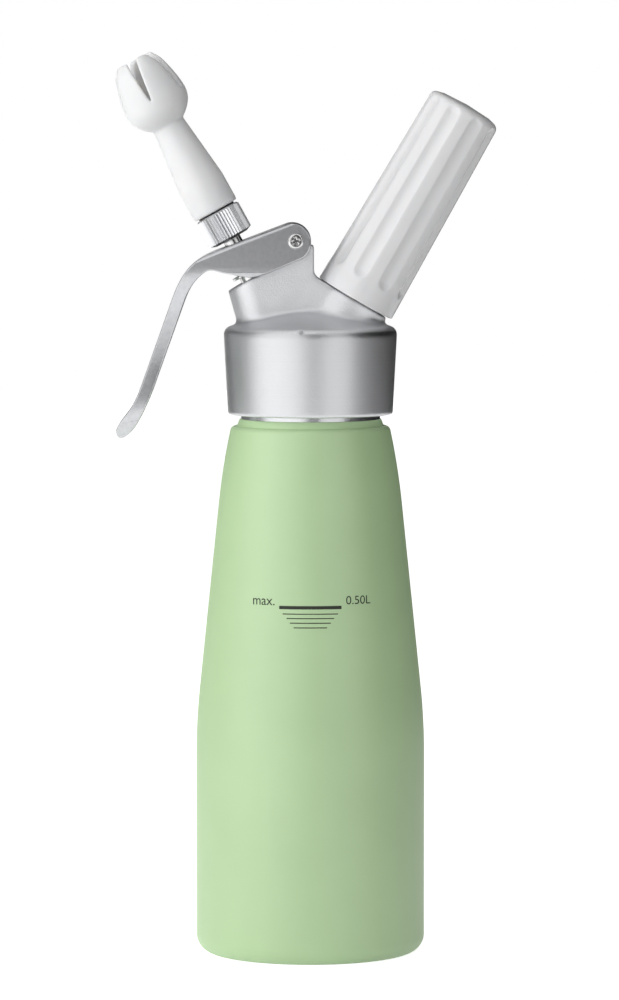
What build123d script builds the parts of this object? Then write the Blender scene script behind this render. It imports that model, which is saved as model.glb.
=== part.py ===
from build123d import *
import os
from math import cos, pi, radians, sin, tan

os.makedirs("parts", exist_ok=True)

# Whipped cream dispenser, 0.5 litre, in millimetres.
# +Z is up. The origin is the centre of the bottle's flat foot. The lever hangs on the -X side,
# the charger holder leans to +X, and the pivot screw's head is on the -Y side.

# ------------------------------------------------------------------ driving dimensions
# bottle
bottle_r = 40.0
bottle_wall = 1.8
floor_t = 3.0
foot_round = 6.2
straight_h = 70.0          # foot to the end of the straight side
hip_h = 23.0               # bend from the straight side into the taper
taper_deg = 5.9            # lean of the tapered side
taper_h = 65.0
crown_h = 27.2             # rounding from the taper to the shoulder
crown_r = 27.7             # radius where the crown ends
crown_round = 2.0
crown_wall_drop = 6.2      # shoulder to the end of the wall's inner curve
neck_ring_r = 25.2         # painted ring under the thread
neck_ring_h = 2.4
neck_ring_slant = 0.5
neck_h = 20.8              # shoulder to rim
neck_r = 23.6              # thread root
neck_crest_r = 24.4
neck_plain_h = 2.3         # plain length under the thread, at the crest radius
mouth_r = 21.0
neck_pitch = 3.0

# head casting
gasket_t = 2.2
skirt_gap = 1.5            # painted ring to the skirt's lower edge
skirt_low_r = 28.8
skirt_top_r = 30.4
skirt_round = 3.0
shoulder_above_seat = 11.1 # gasket seat to the skirt's upper corner
roof_top_r = 8.0
roof_top_rise = 6.6        # the roof is one flat cone
body_foot_rise = 3.2       # skirt's corner to the height where the body's plan is given
cavity_r = 19.5
cavity_h = 6.3             # hollow above the gasket seat
body_half = 9.9            # half thickness of the flat-sided body
body_lean_deg = 15.4       # outward lean of the body's rounded end
body_end_x = 16.1          # centre of the rounded end at the foot of the body
body_root = 9.0            # body and boss sunk into the skirt
face_reach = 8.0           # valve face, from its axis towards the lug
boss_round = 6.0
foot_blend = 2.0
thread_gap = 0.3           # radial clearance over the thread crests
thread_bite = 0.2          # ridges sunk into the thread root

# valve axis, leaning towards -X
valve_lean_deg = 29.0
valve_x = -20.1            # centre of the valve face
valve_above_seat = 28.9
stem_r = 3.2
stem_thick_r = 4.4
stem_low_r = 3.0
stem_bore_r = 1.7
bore_floor_t = 0.6         # stem left solid above the seal
cross_hole_r = 1.1
cross_hole_h = 1.0         # from the seal to the cross holes
washer_r = 6.7
washer_t = 1.0
washer_h = 1.75            # underside of the washer above the valve face
guide_len = 8.0
guide_play = 0.5           # guide wider than the washer that dips into its recess
collar_r = 5.4
collar_t = 1.5
chamber_r = 6.0
chamber_depth = 20.0
oring_wire = 1.2
spring_wire = 0.9
spring_r = 4.7
spring_turns = 4.5
seat_depth = 24.0
seat_hole_r = 4.3
seal_r = 6.2
seal_t = 1.8
seal_play = 0.8            # pocket wider than the seal
spigot_r = 2.0
retainer_r = 4.5
retainer_t = 2.5
valve_stroke = 2.7

# adapter nut and nozzle on the valve axis
adapter_h = 16.3           # underside of the knurl above the valve face
knurl_len = 9.6
knurl_r = 8.25
knurl_teeth = 46
knurl_depth = 0.45
knurl_bevel = 0.7
adapter_boss_r = 6.1
adapter_boss_t = 1.0
stem_reach = 6.4           # stem inside the nut
stem_gasket_t = 0.9
stud_r = 5.4
stud_crest_r = 5.8
stud_len = 7.0
stud_pitch = 1.25
cream_bore_r = 2.2
ring_r = 6.85
ring_t = 0.6
nozzle_len = 59.7
nozzle_foot_r = 8.35
nozzle_foot_len = 10.5
nozzle_neck_r = 5.75
nozzle_neck_h = 34.2
bulb_r = 11.55
bulb_h = 44.0
nozzle_tip_r = 6.7
nozzle_wall = 2.2
nozzle_foot_wall = 3.8     # above the thread
bulb_low_r = 10.4          # place on the bulb's lower curve
bulb_low_h = 38.8
tip_curve_r = 9.3          # place on the curve from the bulb to the tip
tip_curve_drop = 4.4
neck_way = (1.6, 1.0)      # the curve's way out of the neck and into the tip
tip_way = (-0.62, 1.0)
slot_count = 5
slot_len = 19.0
slot_w = 4.0
slot_turn_deg = -96.0      # first slot, about the nozzle's axis from the lever's plane

# lever and its pivot
pivot_arm = 19.34          # pivot to the valve axis
pivot_height = 3.84        # pivot above the valve face, along the valve axis
lever_wall = 2.4
lever_plate = 1.8
lever_end_r = 6.7
lever_side_gap = 0.4
press_bar_r = 3.5
press_gap = 0.1
stem_slot_r = 4.6
lug_r = 3.2
pivot_r = 1.8
screw_r = 1.2
screw_head_r = 2.85
screw_head_t = 1.5
screw_head_round = 0.9
cross_len = 2.9
cross_w = 0.75
cross_depth = 1.1
cross_turn_deg = 20.0
screw_len = 17.0
lug_back_gap = 6.33        # pivot to the lug's back face
lug_shelf_drop = 1.5
lug_corner_round = 3.0

# charger port and holder, leaning towards +X
port_lean_deg = 30.0
port_x = 15.7              # centre of the holder's mouth
port_above_seat = 21.4
port_face_gap = 0.3
port_boss_r = 12.9
boss_root = 3.1
port_stud_r = 10.0
port_crest_r = 10.6
port_stud_len = 8.5
port_pitch = 2.0
port_spigot_r = 7.0
port_bore_depth = 10.0
gas_passage_r = 2.0
drill_past = 12.0          # seal pocket and gas passage run on into the hollow
inlet_t = 1.5
inlet_plug_len = 2.5
inlet_hole_r = 0.5
pin_r = 1.2
pin_bore_r = 0.4
pin_point_r = 0.55
pin_point_len = 2.0
pin_tip_h = 5.2            # needle's tip above the holder's mouth
charger_neck_r = 4.3
charger_neck_len = 7.0
charger_shoulder = 6.0
charger_r = 9.1
charger_len = 65.2
charger_wall = 1.6
cap_t = 1.0
cap_hole_r = 1.4
charger_mouth_h = 2.0
charger_gasket_t = 1.0
holder_foot_r = 14.6
holder_top_r = 13.3
holder_len = 78.0
holder_round = 2.6
holder_dome = 1.6
insert_wall = 1.3
insert_len = 9.0
flute_count = 9
flute_start = 8.0
flute_stop = 1.2           # left plain below the holder's top
flute_depth = 1.0
flute_r = 5.0
flute_turn_deg = 14.3

# fits
fit_gap = 0.02             # parts fastened together
run_gap = 0.05             # parts that turn or slide on each other
soft_gap = 0.3             # free faces near each other

# ------------------------------------------------------------------ places worked out from them
shoulder_z = straight_h + hip_h + taper_h + crown_h
wall_turn_z = shoulder_z - crown_wall_drop
ring_top_z = shoulder_z + neck_ring_h
rim_z = shoulder_z + neck_h
seat_z = rim_z + gasket_t
skirt_low_z = ring_top_z + skirt_gap
skirt_corner_z = seat_z + shoulder_above_seat
roof_top_z = skirt_corner_z + roof_top_rise
guide_r = washer_r + guide_play
guide_sunk = valve_stroke - washer_h + soft_gap
lever_half = body_half + lever_side_gap + lever_wall
cavity_top_z = seat_z + cavity_h

taper_slope = tan(radians(taper_deg))
hip_bend_r = hip_h / sin(radians(taper_deg))
hip_r = bottle_r - hip_bend_r * (1 - cos(radians(taper_deg)))
taper_end_r = hip_r - taper_h * taper_slope


def leaning_plane(x, z, lean_deg):
    """Plane square to an axis that leans in XZ from +Z; a positive lean is towards +X."""
    a = radians(lean_deg)
    return Plane(origin=(x, 0, z), x_dir=(cos(a), 0, -sin(a)), z_dir=(sin(a), 0, cos(a)))


def profile_plane(axis_plane):
    """Plane for a turned profile: its x is the radius and its y the height on the axis."""
    return Plane(origin=axis_plane.origin, x_dir=axis_plane.x_dir, z_dir=-axis_plane.y_dir)


def turning_axis(axis_plane):
    return Axis(axis_plane.origin, axis_plane.z_dir)


def turned_about(axis_plane, turn_deg):
    """The same plane, turned about its own axis."""
    return Plane(axis_plane.location * Rotation(0, 0, turn_deg))


def ring_outline(inner, outer, low, high):
    """Add the half section of a plain ring to the sketch."""
    with Locations(((inner + outer) / 2, (low + high) / 2)):
        Rectangle(outer - inner, high - low)


def thread_outline(root, crest, low, high, pitch):
    """Add the half sections of parallel ridges that stand for a thread."""
    for turn in range(int((high - low) / pitch)):
        middle = low + (turn + 0.5) * pitch
        Polygon(
            (root, middle - pitch / 2.5),
            (crest, middle - pitch / 8),
            (crest, middle + pitch / 8),
            (root, middle + pitch / 2.5),
            (root - thread_bite, middle + pitch / 2.5),
            (root - thread_bite, middle - pitch / 2.5),
            align=None,
        )


bottle_axis = Plane.XY
valve_axis = leaning_plane(valve_x, seat_z + valve_above_seat, -valve_lean_deg)
port_axis = leaning_plane(port_x, seat_z + port_above_seat, port_lean_deg)
pivot_point = valve_axis.from_local_coords((pivot_arm, 0, pivot_height))
pivot_x = pivot_point.X
pivot_z = pivot_point.Z

# ------------------------------------------------------------------ bottle
def wall_outline(inset, low, top_r, top_z):
    """Half outline of the bottle's side, moved in by inset, from the axis at low to top_r, top_z."""
    side_r = bottle_r - inset
    bend_r = foot_round - inset
    with BuildLine() as wall:
        Line((0, low), (side_r - bend_r, low))
        RadiusArc((side_r - bend_r, low), (side_r, low + bend_r), -bend_r)
        Line((side_r, low + bend_r), (side_r, straight_h))
        TangentArc((side_r, straight_h), (hip_r - inset, straight_h + hip_h), tangent=(0, 1))
        taper = Line(
            (hip_r - inset, straight_h + hip_h),
            (taper_end_r - inset, straight_h + hip_h + taper_h),
        )
        TangentArc(taper @ 1, (top_r, top_z), tangent=taper % 1)
    return wall.line


with BuildPart() as bottle:
    with BuildSketch(profile_plane(bottle_axis)):
        with BuildLine():
            add(wall_outline(0, 0, crown_r, shoulder_z))
            Line((crown_r, shoulder_z), (0, shoulder_z))
            Line((0, shoulder_z), (0, 0))
        make_face()
        ring_outline(0, neck_r, shoulder_z - 1, rim_z)
        ring_outline(0, neck_crest_r, shoulder_z, ring_top_z + neck_plain_h)
        with BuildLine():
            Polyline(
                (0, shoulder_z),
                (neck_ring_r + neck_ring_slant, shoulder_z),
                (neck_ring_r - neck_ring_slant, ring_top_z),
                (0, ring_top_z),
                close=True,
            )
        make_face()
        thread_outline(neck_r, neck_crest_r, ring_top_z + neck_plain_h, rim_z - 1, neck_pitch)
    revolve(axis=turning_axis(bottle_axis))
    rounded = bottle.edges().filter_by(GeomType.CIRCLE).filter_by(
        lambda e: abs(e.radius - crown_r) < 0.01 and abs(e.center().Z - shoulder_z) < 0.01
    )
    fillet(rounded, crown_round)
    with BuildSketch(profile_plane(bottle_axis)):
        with BuildLine():
            add(wall_outline(bottle_wall, floor_t, crown_r - bottle_wall, wall_turn_z))
            Polyline(
                (crown_r - bottle_wall, wall_turn_z),
                (mouth_r, shoulder_z + 1),
                (mouth_r, rim_z),
                (0, rim_z),
                (0, floor_t),
            )
        make_face()
    revolve(axis=turning_axis(bottle_axis), mode=Mode.SUBTRACT)
bottle.part.label = "bottle"
export_step(bottle.part, "parts/bottle.step")

with BuildPart() as head_gasket:
    with BuildSketch(profile_plane(bottle_axis)):
        ring_outline(mouth_r + soft_gap, neck_crest_r - soft_gap, rim_z, seat_z)
    revolve(axis=turning_axis(bottle_axis))
head_gasket.part.label = "head_gasket"
export_step(head_gasket.part, "parts/head_gasket.step")

# ------------------------------------------------------------------ head casting
body_foot_z = skirt_corner_z + body_foot_rise
lug_back_x = pivot_x + lug_back_gap
shelf_z = pivot_z - lug_shelf_drop
face_left = valve_axis.from_local_coords((-2 * body_half, 0, 0))
face_right = valve_axis.from_local_coords((face_reach, 0, 0))
port_slope = tan(radians(port_lean_deg))
port_face = port_axis.offset(-port_face_gap)


def port_face_z(x):
    """Height of the port face's plane above a place on X."""
    return port_face.origin.Z - (x - port_face.origin.X) * port_slope


with BuildPart() as head:
    # flat-sided body: side view, then its rounded end
    with BuildSketch(Plane.XZ) as body_side:
        with BuildLine():
            Polyline(
                (face_left.X, body_foot_z - body_root + 1),
                (face_left.X, face_left.Z),
                (face_right.X, face_right.Z),
                (pivot_x - lug_r, pivot_z),
                (pivot_x, pivot_z),
                (pivot_x, shelf_z),
                (lug_back_x, shelf_z),
                (lug_back_x, port_face_z(lug_back_x)),
                (port_x, port_face_z(port_x)),
                (port_x, body_foot_z - body_root + 1),
                close=True,
            )
        make_face()
        with Locations((pivot_x, pivot_z)):
            Circle(lug_r)
        neck_corner = body_side.vertices().sort_by_distance((lug_back_x, 0, port_face_z(lug_back_x)))[0]
        fillet(neck_corner, lug_corner_round)
    extrude(amount=body_half, both=True)
    lean = tan(radians(body_lean_deg))
    plan_low = body_foot_z - body_root
    plan_x = -body_end_x + body_root * lean
    with BuildSketch(Plane.XY.offset(plan_low)):
        with Locations((plan_x, 0)):
            Circle(body_half)
        with Locations((plan_x + bottle_r, 0)):
            Rectangle(2 * bottle_r, 2 * body_half)
    extrude(amount=2 * bottle_r, dir=(-lean, 0, 1), mode=Mode.INTERSECT)
    # round boss under the charger holder
    with BuildSketch(port_face):
        Circle(port_boss_r)
    extrude(amount=-port_boss_r - boss_root)
    # skirt and roof
    with BuildSketch(profile_plane(bottle_axis)):
        with BuildLine():
            Polyline(
                (0, skirt_low_z),
                (skirt_low_r, skirt_low_z),
                (skirt_top_r, skirt_corner_z),
                (roof_top_r, roof_top_z),
                (0, roof_top_z),
                close=True,
            )
        make_face()
    revolve(axis=turning_axis(bottle_axis))
    # soft blends: boss to flat side, then body and boss to the roof, then the skirt's corner
    fillet(head.edges().filter_by(turning_axis(port_axis)), boss_round)
    foot = head.edges().filter_by(
        lambda e: skirt_corner_z < e.center().Z < roof_top_z
        and e.geom_type not in (GeomType.LINE, GeomType.CIRCLE)
    )
    fillet(foot, foot_blend)
    corner = head.edges().filter_by(GeomType.CIRCLE).filter_by(
        lambda e: abs(e.radius - skirt_top_r) < 0.01
    )
    fillet(corner, skirt_round)
    # hollow for the bottle's neck
    with BuildSketch(profile_plane(bottle_axis)):
        ring_outline(0, neck_crest_r + thread_gap, skirt_low_z - 1, seat_z)
        ring_outline(0, cavity_r, seat_z - 1, cavity_top_z)
    revolve(axis=turning_axis(bottle_axis), mode=Mode.SUBTRACT)
    # valve bore
    with BuildSketch(profile_plane(valve_axis)):
        ring_outline(0, guide_r + fit_gap, -guide_sunk - guide_len, 5)
        ring_outline(0, chamber_r, -chamber_depth, 0)
        ring_outline(0, seat_hole_r, -seat_depth - 1, 0)
        ring_outline(0, seal_r + seal_play, -seat_depth - drill_past, -seat_depth)
    revolve(axis=turning_axis(valve_axis), mode=Mode.SUBTRACT)
    # port bore and gas passage
    with BuildSketch(profile_plane(port_axis)):
        ring_outline(0, port_spigot_r + fit_gap, -port_face_gap - port_bore_depth, 5)
        ring_outline(0, gas_passage_r, -port_face_gap - port_bore_depth - drill_past, 0)
    revolve(axis=turning_axis(port_axis), mode=Mode.SUBTRACT)
    # pivot bore
    with BuildSketch(Plane.XZ):
        with Locations((pivot_x, pivot_z)):
            Circle(pivot_r + fit_gap + run_gap)
    extrude(amount=2 * body_half, both=True, mode=Mode.SUBTRACT)
head.part.label = "head"
export_step(head.part, "parts/head.step")

# ------------------------------------------------------------------ valve
with BuildPart() as valve_guide:
    with BuildSketch(profile_plane(valve_axis)):
        ring_outline(stem_thick_r + run_gap, guide_r, -guide_sunk - guide_len, -guide_sunk)
        with Locations((stem_thick_r + run_gap + oring_wire / 2, -guide_sunk - guide_len / 2)):
            Rectangle(oring_wire + 2 * run_gap, oring_wire + 2 * run_gap, mode=Mode.SUBTRACT)
    revolve(axis=turning_axis(valve_axis))
valve_guide.part.label = "valve_guide"
export_step(valve_guide.part, "parts/valve_guide.step")

with BuildPart() as guide_oring:
    with BuildSketch(profile_plane(valve_axis)):
        with Locations((stem_thick_r + run_gap + oring_wire / 2, -guide_sunk - guide_len / 2)):
            Circle(oring_wire / 2)
    revolve(axis=turning_axis(valve_axis))
guide_oring.part.label = "guide_oring"
export_step(guide_oring.part, "parts/guide_oring.step")

collar_top = -guide_sunk - guide_len - 2 * run_gap
collar_low = collar_top - collar_t
stem_top = adapter_h + stem_reach
with BuildPart() as valve_stem:
    with BuildSketch(profile_plane(valve_axis)):
        ring_outline(0, stem_r, 0, stem_top)
        ring_outline(0, stem_thick_r, collar_low, washer_h)
        ring_outline(0, collar_r, collar_low, collar_top)
        ring_outline(0, stem_low_r, -seat_depth - run_gap, collar_low)
        ring_outline(0, spigot_r, -seat_depth - seal_t - retainer_t, collar_low)
    revolve(axis=turning_axis(valve_axis))
    with BuildSketch(profile_plane(valve_axis)):
        ring_outline(0, stem_bore_r, -seat_depth + bore_floor_t, stem_top)
    revolve(axis=turning_axis(valve_axis), mode=Mode.SUBTRACT)
    for cross_turn in (0, 90):
        with BuildSketch(profile_plane(turned_about(valve_axis, cross_turn))):
            with Locations((0, -seat_depth + cross_hole_h + cross_hole_r)):
                Circle(cross_hole_r)
        extrude(amount=2 * stem_low_r, both=True, mode=Mode.SUBTRACT)
valve_stem.part.label = "valve_stem"
export_step(valve_stem.part, "parts/valve_stem.step")

with BuildPart() as press_washer:
    with BuildSketch(profile_plane(valve_axis)):
        ring_outline(stem_r + fit_gap, washer_r, washer_h, washer_h + washer_t)
    revolve(axis=turning_axis(valve_axis))
press_washer.part.label = "press_washer"
export_step(press_washer.part, "parts/press_washer.step")

with BuildPart() as valve_spring:
    spring_low = -chamber_depth + spring_wire / 2 + run_gap
    spring_high = collar_low - spring_wire / 2 - run_gap
    with BuildLine() as coil:
        Helix(
            (spring_high - spring_low) / spring_turns,
            spring_high - spring_low,
            spring_r,
            center=valve_axis.offset(spring_low).origin,
            direction=valve_axis.z_dir,
        )
    with BuildSketch(Plane(coil.line @ 0, z_dir=coil.line % 0)):
        Circle(spring_wire / 2)
    sweep(is_frenet=True)
valve_spring.part.label = "valve_spring"
export_step(valve_spring.part, "parts/valve_spring.step")

seal_top = -seat_depth - run_gap
with BuildPart() as valve_seal:
    with BuildSketch(profile_plane(valve_axis)):
        ring_outline(spigot_r + fit_gap, seal_r, seal_top - seal_t, seal_top)
    revolve(axis=turning_axis(valve_axis))
valve_seal.part.label = "valve_seal"
export_step(valve_seal.part, "parts/valve_seal.step")

with BuildPart() as seal_retainer:
    with BuildSketch(valve_axis.offset(seal_top - seal_t)):
        RegularPolygon(retainer_r, 6)
        Circle(spigot_r + fit_gap, mode=Mode.SUBTRACT)
    extrude(amount=-retainer_t)
seal_retainer.part.label = "seal_retainer"
export_step(seal_retainer.part, "parts/seal_retainer.step")

# ------------------------------------------------------------------ adapter nut and nozzle
knurl_top = adapter_h + knurl_len
gasket_seat = stem_top + stem_gasket_t + run_gap
with BuildPart() as nozzle_adapter:
    knurl_points = []
    for tooth in range(knurl_teeth):
        for step, radius in ((0, knurl_r), (0.5, knurl_r - knurl_depth)):
            angle = 2 * pi * (tooth + step) / knurl_teeth
            knurl_points.append((radius * cos(angle), radius * sin(angle)))
    with BuildSketch(valve_axis.offset(adapter_h)):
        Polygon(*knurl_points, align=None)
    extrude(amount=knurl_len)
    with BuildSketch(profile_plane(valve_axis)):
        with BuildLine():
            Polyline(
                (0, adapter_h - adapter_boss_t),
                (adapter_boss_r, adapter_h - adapter_boss_t),
                (knurl_r, adapter_h + knurl_bevel),
                (knurl_r, knurl_top - knurl_bevel),
                (knurl_r - knurl_bevel, knurl_top),
                (0, knurl_top),
                close=True,
            )
        make_face()
    revolve(axis=turning_axis(valve_axis), mode=Mode.INTERSECT)
    with BuildSketch(profile_plane(valve_axis)):
        ring_outline(0, adapter_boss_r, adapter_h - adapter_boss_t, knurl_top)
        ring_outline(0, stud_r, knurl_top - 1, knurl_top + stud_len)
        thread_outline(stud_r, stud_crest_r, knurl_top + 2 * ring_t, knurl_top + stud_len, stud_pitch)
    revolve(axis=turning_axis(valve_axis))
    with BuildSketch(profile_plane(valve_axis)):
        ring_outline(0, stem_r + run_gap, adapter_h - adapter_boss_t - 1, gasket_seat)
        ring_outline(0, cream_bore_r, stem_top, knurl_top + stud_len + 1)
    revolve(axis=turning_axis(valve_axis), mode=Mode.SUBTRACT)
nozzle_adapter.part.label = "nozzle_adapter"
export_step(nozzle_adapter.part, "parts/nozzle_adapter.step")

with BuildPart() as stem_gasket:
    with BuildSketch(profile_plane(valve_axis)):
        ring_outline(stem_bore_r, stem_r, gasket_seat - stem_gasket_t, gasket_seat)
    revolve(axis=turning_axis(valve_axis))
stem_gasket.part.label = "stem_gasket"
export_step(stem_gasket.part, "parts/stem_gasket.step")

with BuildPart() as adapter_ring:
    with BuildSketch(profile_plane(valve_axis)):
        ring_outline(stud_crest_r + soft_gap, ring_r, knurl_top, knurl_top + ring_t)
    revolve(axis=turning_axis(valve_axis))
adapter_ring.part.label = "adapter_ring"
export_step(adapter_ring.part, "parts/adapter_ring.step")

nozzle_axis = valve_axis.offset(knurl_top + ring_t)
with BuildPart() as nozzle:
    with BuildSketch(profile_plane(nozzle_axis)):
        with BuildLine():
            Polyline(
                (0, nozzle_len),
                (0, 0),
                (nozzle_foot_r, 0),
                (nozzle_foot_r, nozzle_foot_len),
                (nozzle_neck_r, nozzle_neck_h),
            )
            Spline(
                (nozzle_neck_r, nozzle_neck_h),
                (bulb_low_r, bulb_low_h),
                (bulb_r, bulb_h),
                (tip_curve_r, nozzle_len - tip_curve_drop),
                (nozzle_tip_r, nozzle_len),
                tangents=(neck_way, tip_way),
            )
            Line((nozzle_tip_r, nozzle_len), (0, nozzle_len))
        make_face()
    revolve(axis=turning_axis(nozzle_axis))
    with BuildSketch(profile_plane(nozzle_axis)):
        ring_outline(0, stud_crest_r + soft_gap, -1, stud_len - ring_t + soft_gap)
        with BuildLine():
            Polyline(
                (0, nozzle_len + 1),
                (0, stud_len - ring_t - 1),
                (nozzle_foot_r - nozzle_foot_wall, stud_len - ring_t - 1),
                (nozzle_neck_r - nozzle_wall, nozzle_neck_h),
            )
            Spline(
                (nozzle_neck_r - nozzle_wall, nozzle_neck_h),
                (bulb_r - nozzle_wall, bulb_h),
                (nozzle_tip_r - nozzle_wall, nozzle_len - 1),
            )
            Polyline(
                (nozzle_tip_r - nozzle_wall, nozzle_len - 1),
                (nozzle_tip_r - nozzle_wall, nozzle_len + 1),
                (0, nozzle_len + 1),
            )
        make_face()
    revolve(axis=turning_axis(nozzle_axis), mode=Mode.SUBTRACT)
    for slot in range(slot_count):
        slot_plane = turned_about(nozzle_axis, slot_turn_deg + 360 / slot_count * slot)
        with BuildSketch(Plane(slot_plane.origin, x_dir=slot_plane.y_dir, z_dir=slot_plane.x_dir)):
            Polygon(
                (0, nozzle_len - slot_len),
                (slot_w / 2, nozzle_len + 1),
                (-slot_w / 2, nozzle_len + 1),
                align=None,
            )
        extrude(amount=2 * bulb_r, mode=Mode.SUBTRACT)
nozzle.part.label = "nozzle"
export_step(nozzle.part, "parts/nozzle.step")

# ------------------------------------------------------------------ lever
lever_axis = Plane(origin=(pivot_x, 0, pivot_z), x_dir=(1, 0, 0), z_dir=(0, -1, 0))
top_deg = 21.3             # slope of the straight top
lever_end = (-1.4, -0.5)   # centre of the round end from the pivot
top_bend = (-28.0, -3.4)   # where the straight top starts to bend down
grip_top = (-43.4, -21.0)  # outer edge of the grip, top and foot of its straight run
grip_foot = (-53.9, -50.4)
bend_middle = (-37.5, -9.6)
flare_out = (-57.2, -57.6)  # outer and inner edges where the grip flares
flare_in = (-52.2, -57.6)
tip_out = (-62.7, -65.9)   # outer and inner edges of the flared tip
tip_in = (-56.6, -65.6)
tip_end = (-61.4, -69.0)
grip_t = 4.3               # thickness of the grip
belly_front = (-24.4, -11.3)
belly_low = (-15.5, -12.6)
belly_rise = (-9.3, -11.0)
belly_back = (2.3, -6.45)
elbow_in = (-31.5, -10.7)  # inner side of the elbow above the grip
bridge_x = -33.5           # front wall of the hollow under the top
bend_slope = 0.62          # slope of the hollow over the bend
hollow_low = -30.0         # the hollow runs out below and behind past these
hollow_rear = 20.0
rear_open_z = 1.5          # the round end is open below this height
waist_widths = ((9.6, -25.0), (8.4, -42.0), (9.4, -58.0), (6.6, -66.5))  # half width, height
width_tip = -69.4
width_shoulder = -9.0

grip_run = (grip_foot[0] - grip_top[0], grip_foot[1] - grip_top[1])
grip_back = (-grip_run[0], -grip_run[1])
grip_across = grip_t * (grip_run[0]**2 + grip_run[1]**2) ** 0.5 / abs(grip_run[1])
top_slope = tan(radians(top_deg))


def top_touch(radius):
    """Place where the sloping top line touches a round end of this radius."""
    a = radians(top_deg)
    return (lever_end[0] - radius * sin(a), lever_end[1] + radius * cos(a))


with BuildPart() as lever:
    with BuildSketch(lever_axis):
        with BuildLine():
            Line(top_touch(lever_end_r), top_bend)
            Spline(
                top_bend,
                bend_middle,
                grip_top,
                tangents=((-1, -top_slope), grip_run),
            )
            Line(grip_top, grip_foot)
            Spline(
                grip_foot,
                flare_out,
                tip_out,
                tangents=(grip_run, (-0.1, -1)),
            )
            Spline(tip_out, tip_end, tip_in, tangents=((-0.1, -1), (0.6, 1)))
            Spline(
                tip_in,
                flare_in,
                (grip_foot[0] + grip_across, grip_foot[1]),
                tangents=((0.6, 1), grip_back),
            )
            Line(
                (grip_foot[0] + grip_across, grip_foot[1]),
                (grip_top[0] + grip_across, grip_top[1]),
            )
            Spline(
                (grip_top[0] + grip_across, grip_top[1]),
                elbow_in,
                belly_front,
                belly_low,
                tangents=(grip_back, (1, 0)),
            )
            Spline(
                belly_low,
                belly_rise,
                belly_back,
                tangents=((1, 0), (1, top_slope)),
            )
            ThreePointArc(
                belly_back,
                (lever_end[0] + lever_end_r, lever_end[1]),
                top_touch(lever_end_r),
            )
        make_face()
    extrude(amount=lever_half, both=True)
    # width of the lever seen from the front
    with BuildSketch(Plane.YZ):
        with BuildLine():
            Polyline(
                (0, pivot_z + width_tip),
                (0, pivot_z + 2 * lever_end_r),
                (lever_half, pivot_z + 2 * lever_end_r),
                (lever_half, pivot_z + width_shoulder),
            )
            Spline(
                (lever_half, pivot_z + width_shoulder),
                *[(half, pivot_z + height) for half, height in waist_widths],
                (0, pivot_z + width_tip),
                tangents=((0, -1), (-1, 0)),
            )
        make_face()
        mirror(about=Plane.YZ)
    extrude(amount=2 * bottle_r, both=True, mode=Mode.INTERSECT)
    # hollow under the top, open below and behind
    hollow_r = lever_end_r - lever_plate
    hollow_drop = lever_plate / cos(radians(top_deg))
    with BuildSketch(lever_axis):
        with BuildLine():
            Polyline(
                top_touch(hollow_r),
                (top_bend[0], top_bend[1] - hollow_drop),
                (bridge_x, top_bend[1] - hollow_drop + (bridge_x - top_bend[0]) * bend_slope),
                (bridge_x, hollow_low),
                (hollow_rear, hollow_low),
                (hollow_rear, rear_open_z),
                (lever_end[0], rear_open_z),
                close=True,
            )
        make_face()
        with Locations(lever_end):
            Circle(hollow_r)
    extrude(amount=lever_half - lever_wall, both=True, mode=Mode.SUBTRACT)
    # bar across the hollow that presses on the washer
    press_bar = valve_axis.from_local_coords((0, 0, washer_h + washer_t + press_gap + press_bar_r))
    with BuildSketch(Plane.XZ):
        with Locations((press_bar.X, press_bar.Z)):
            Circle(press_bar_r)
    extrude(amount=lever_half - lever_wall + fit_gap, both=True)
    with BuildSketch(valve_axis):
        Circle(stem_slot_r)
    extrude(amount=adapter_h + knurl_len, mode=Mode.SUBTRACT)
    with BuildSketch(lever_axis):
        Circle(pivot_r + fit_gap)
    extrude(amount=lever_half + 1, both=True, mode=Mode.SUBTRACT)
lever.part.label = "lever"
export_step(lever.part, "parts/lever.step")

# ------------------------------------------------------------------ pivot
rear_face = lever_axis.offset(-lever_half)
front_face = lever_axis.offset(lever_half)
with BuildPart() as pivot_barrel:
    with BuildSketch(rear_face):
        Circle(pivot_r)
    extrude(amount=2 * lever_half - soft_gap)
    with BuildSketch(rear_face):
        Circle(screw_head_r)
    extrude(amount=-screw_head_t)
    rim = pivot_barrel.edges().filter_by(GeomType.CIRCLE).sort_by(Axis.Y)[-1]
    fillet(rim, screw_head_round)
    with BuildSketch(front_face):
        Circle(screw_r + run_gap)
    extrude(amount=-screw_len - 1, mode=Mode.SUBTRACT)
pivot_barrel.part.label = "pivot_barrel"
export_step(pivot_barrel.part, "parts/pivot_barrel.step")

with BuildPart() as pivot_screw:
    with BuildSketch(front_face):
        Circle(screw_head_r)
    extrude(amount=screw_head_t)
    rim = pivot_screw.edges().filter_by(GeomType.CIRCLE).sort_by(Axis.Y)[0]
    fillet(rim, screw_head_round)
    with BuildSketch(front_face):
        Circle(screw_r)
    extrude(amount=-screw_len)
    # cross recess
    with BuildSketch(front_face.offset(screw_head_t)):
        Rectangle(cross_len, cross_w, rotation=cross_turn_deg)
        Rectangle(cross_w, cross_len, rotation=cross_turn_deg)
    extrude(amount=-cross_depth, taper=18, mode=Mode.SUBTRACT)
pivot_screw.part.label = "pivot_screw"
export_step(pivot_screw.part, "parts/pivot_screw.step")

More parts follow.
